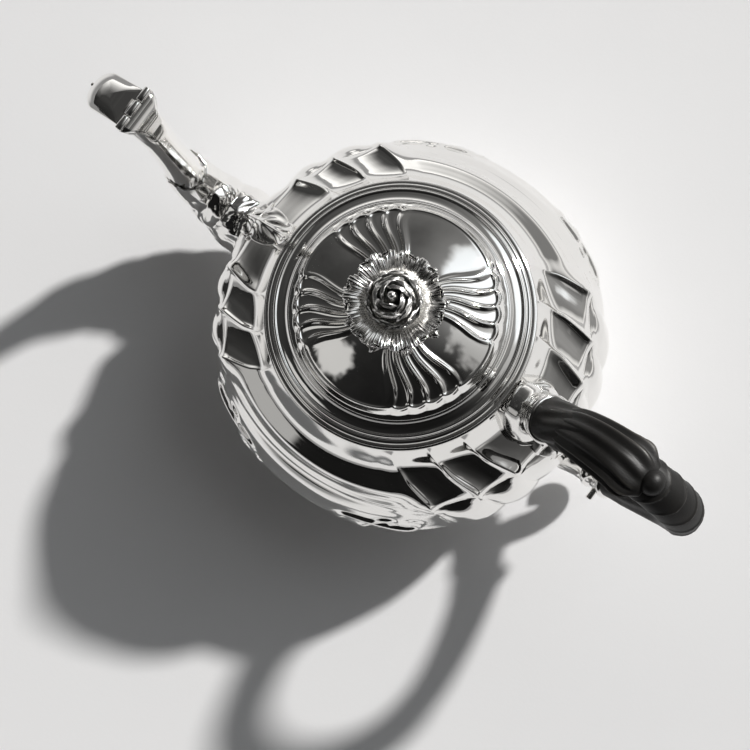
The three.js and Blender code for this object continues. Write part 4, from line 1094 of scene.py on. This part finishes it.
def build_sockets():
    upper = socket(UPPER_FRAME, upper_profile, 144, 9.5, lobe_height=0.1)
    make_piece("upper_handle_socket", upper, chased, "pot", ["upper_socket"])
    lower = socket(LOWER_FRAME, lower_profile, 96, 10.0)
    scroll = [(x * LOWER_SOCKET[0], z * LOWER_SOCKET[1], s * 4, s * 4.2) for x, z, s in (
        (-0.855, 0.78, 1.1), (-0.885, 0.6, 1), (-0.915, 0.42, 0.95), (-0.895, 0.28, 0.9),
        (-0.845, 0.265, 0.8), (-0.82, 0.34, 0.6))]
    turn, t = around(48), spread(0, 1, 70)[:, None]
    lower.rings(path_point(scroll, t, turn, 1 + 0.07 * np.cos(8 * turn) * np.sin(t * math.pi)))
    make_piece("lower_handle_socket", lower, chased, "pot", ["lower_socket"])


def build_pins():
    for name, node, matrix, radius, low, high, height in (
            ("flap_pin", "flap_hinge_pin", MOUTH, 0.6, -8.3, 8.3, HINGE_HEIGHT),
            ("upper_socket_rivet", "upper_socket_pin", UPPER_FRAME, 1.0, -7.7, 7.7, -4),
            ("lower_socket_rivet", "lower_socket_pin", LOWER_FRAME, 1.2, -6.8, 10.0, -4)):
        rings = through(matrix, bar(low, high, radius, height, PIN_ENDS, 24))
        make_piece(name, Shape().rings(rings), polished, "pot", [node])


build_body()
build_turned_rings()
build_lid_dome()
build_finial()
build_spout()
build_calyx()
build_flap()
build_leaf("spout_shoulder_leaf", "spout_leaf", 0, (1.25, 0.1), 8, 1.0)
build_leaf("socket_shoulder_leaf", "upper_socket_leaf", 180, (0.2, 1.5), 11, 1.1)
build_handle()
build_sockets()
build_pins()
for node in ("finial_stud", "finial_washer", "finial_nut"):
    for slot_of_node in bpy.data.objects[node].material_slots:
        slot_of_node.material = lining


# Table, light and camera

SUN_FROM = (-0.262, -0.773, 0.581)


def build_table():
    material, nodes, place = new_material("pale_table")
    away = nodes.add("ShaderNodeVectorMath", {0: place}, operation="LENGTH", output="Value")
    cloud = nodes.noise(place, 6.0, 3.0)
    speck = nodes.noise(place, 700.0, 2.0)
    colour = nodes.mix(away.between(0.26, 0.6), (0.79, 0.79, 0.80, 1), (0.26, 0.26, 0.265, 1))
    colour = nodes.mix(cloud.between(0.45, 0.8) * 0.12, colour, (0.62, 0.62, 0.64, 1))
    nodes.surface(speck, 0.1, 0.0002, {"Base Color": colour, "Roughness": 0.85})
    mesh = bpy.data.meshes.new("table")
    rim = polar(4.0, around(64), 0)
    mesh.from_pydata(rim.tolist(), [], [list(range(len(rim)))])
    mesh.materials.append(material)
    new_object("table", mesh)


def build_sun():
    light = bpy.data.lights.new("window_sun", "SUN")
    light.energy = 4.0
    light.angle = math.radians(3.6)
    light.color = (1.0, 0.985, 0.96)
    lamp = new_object("window_sun", light)
    lamp.rotation_mode = "QUATERNION"
    lamp.rotation_quaternion = Vector(SUN_FROM).to_track_quat("Z", "Y")


def build_room():
    """The dim room with soft windows that the silver shows"""
    world = bpy.data.worlds.new("studio")
    world.use_nodes = True
    bpy.context.scene.world = world
    nodes = Nodes(world.node_tree)
    direction = nodes.add("ShaderNodeTexCoord", output="Generated")
    height = nodes.add("ShaderNodeSeparateXYZ", {"Vector": direction}, output="Z")
    blotches = nodes.add("ShaderNodeTexNoise", {
        "Vector": direction, "Scale": 2.4, "Detail": 3.0, "Roughness": 0.6})
    ragged = (blotches - 0.5) * 0.16

    def facing(x, y, z):
        length = math.sqrt(x * x + y * y + z * z)
        toward = (x / length, y / length, z / length)
        return nodes.add("ShaderNodeVectorMath", {0: direction, 1: toward},
                         operation="DOT_PRODUCT", output="Value")

    def lobe(x, y, z, power):
        return facing(x, y, z).most(0.0) ** power

    def window(x, y, z, low, high, strength, raggedness=1.0):
        return (facing(x, y, z) + ragged * raggedness).between(low, high) * strength

    def low_band(low, high):
        return 1 - height.between(low, high)

    horizon = window(-0.1, -0.99, 0.0, -0.3, 0.55, 0.72, 3.0) * low_band(0.02, 0.26)
    wall = window(-0.1, -0.99, 0.0, 0.3, 0.95, 0.16, 0.0) * low_band(0.1, 0.75)
    glow = lobe(-0.3, -0.6, 0.74, 12.0) * 0.3 + lobe(-0.2, -0.4, 0.9, 20.0) * 0.12
    sunlit = window(-0.31, -0.62, 0.72, 0.925, 0.965, 0.75, 0.7)
    west = lobe(-0.85, -0.42, 0.35, 10.0) * 0.2
    south_east = lobe(0.4, -0.75, 0.5, 4.0) * 0.07
    low_east = window(0.77, -0.64, 0.15, 0.75, 0.95, 0.4, 0.0) * low_band(0.18, 0.4)
    east = lobe(0.8, 0.1, 0.6, 3.0) * 0.03 + low_east
    far_window = window(0.36, 0.52, 0.79, 0.972, 0.99, 0.55)
    low_window = window(0.45, 0.85, 0.27, 0.965, 0.99, 0.38)
    side_window = window(-0.53, -0.21, 0.82, 0.965, 0.985, 0.3)
    shade_of_room = (0.008 + west + south_east + east) * (0.3 + blotches * 1.4)
    sunny = glow + sunlit
    level = shade_of_room + horizon.most(wall) + sunny + far_window + low_window + side_window
    tint = nodes.mix(sunny.least(1.0), (1.0, 0.99, 0.97, 1), (0.93, 0.97, 1.0, 1))
    shade = nodes.add("ShaderNodeBackground", {"Color": tint, "Strength": level})
    nodes.add("ShaderNodeOutputWorld", {"Surface": shade})


def build_camera():
    """Almost straight above, as the photograph was taken"""
    position = np.array([-123.146, 72.005, 850.946])
    target = np.array([-2.027, 19.666, 60])
    roll, focal_pixels, photo_width, sensor = 3.76623, 2371.637, 750, 36
    forward = target - position
    forward /= np.linalg.norm(forward)
    right = np.array([math.cos(roll), math.sin(roll), 0])
    right -= forward * (right @ forward)
    right /= np.linalg.norm(right)
    down = np.cross(forward, right)
    camera = bpy.data.cameras.new("camera")
    camera.sensor_width = sensor
    camera.lens = focal_pixels / photo_width * sensor
    camera.clip_start = 0.01
    camera.clip_end = 50
    place = Matrix(joined(right, -down, -forward).tolist()).to_4x4()
    place.translation = Vector(position * MM) + Vector((AXIS_X, 0, 0))
    eye = new_object("camera", camera)
    eye.matrix_world = place
    bpy.context.scene.camera = eye


build_table()
build_sun()
build_room()
build_camera()
bpy.context.scene.view_settings.view_transform = "Standard"


def plain(box):
    return [[float(value) for value in corner] for corner in box]
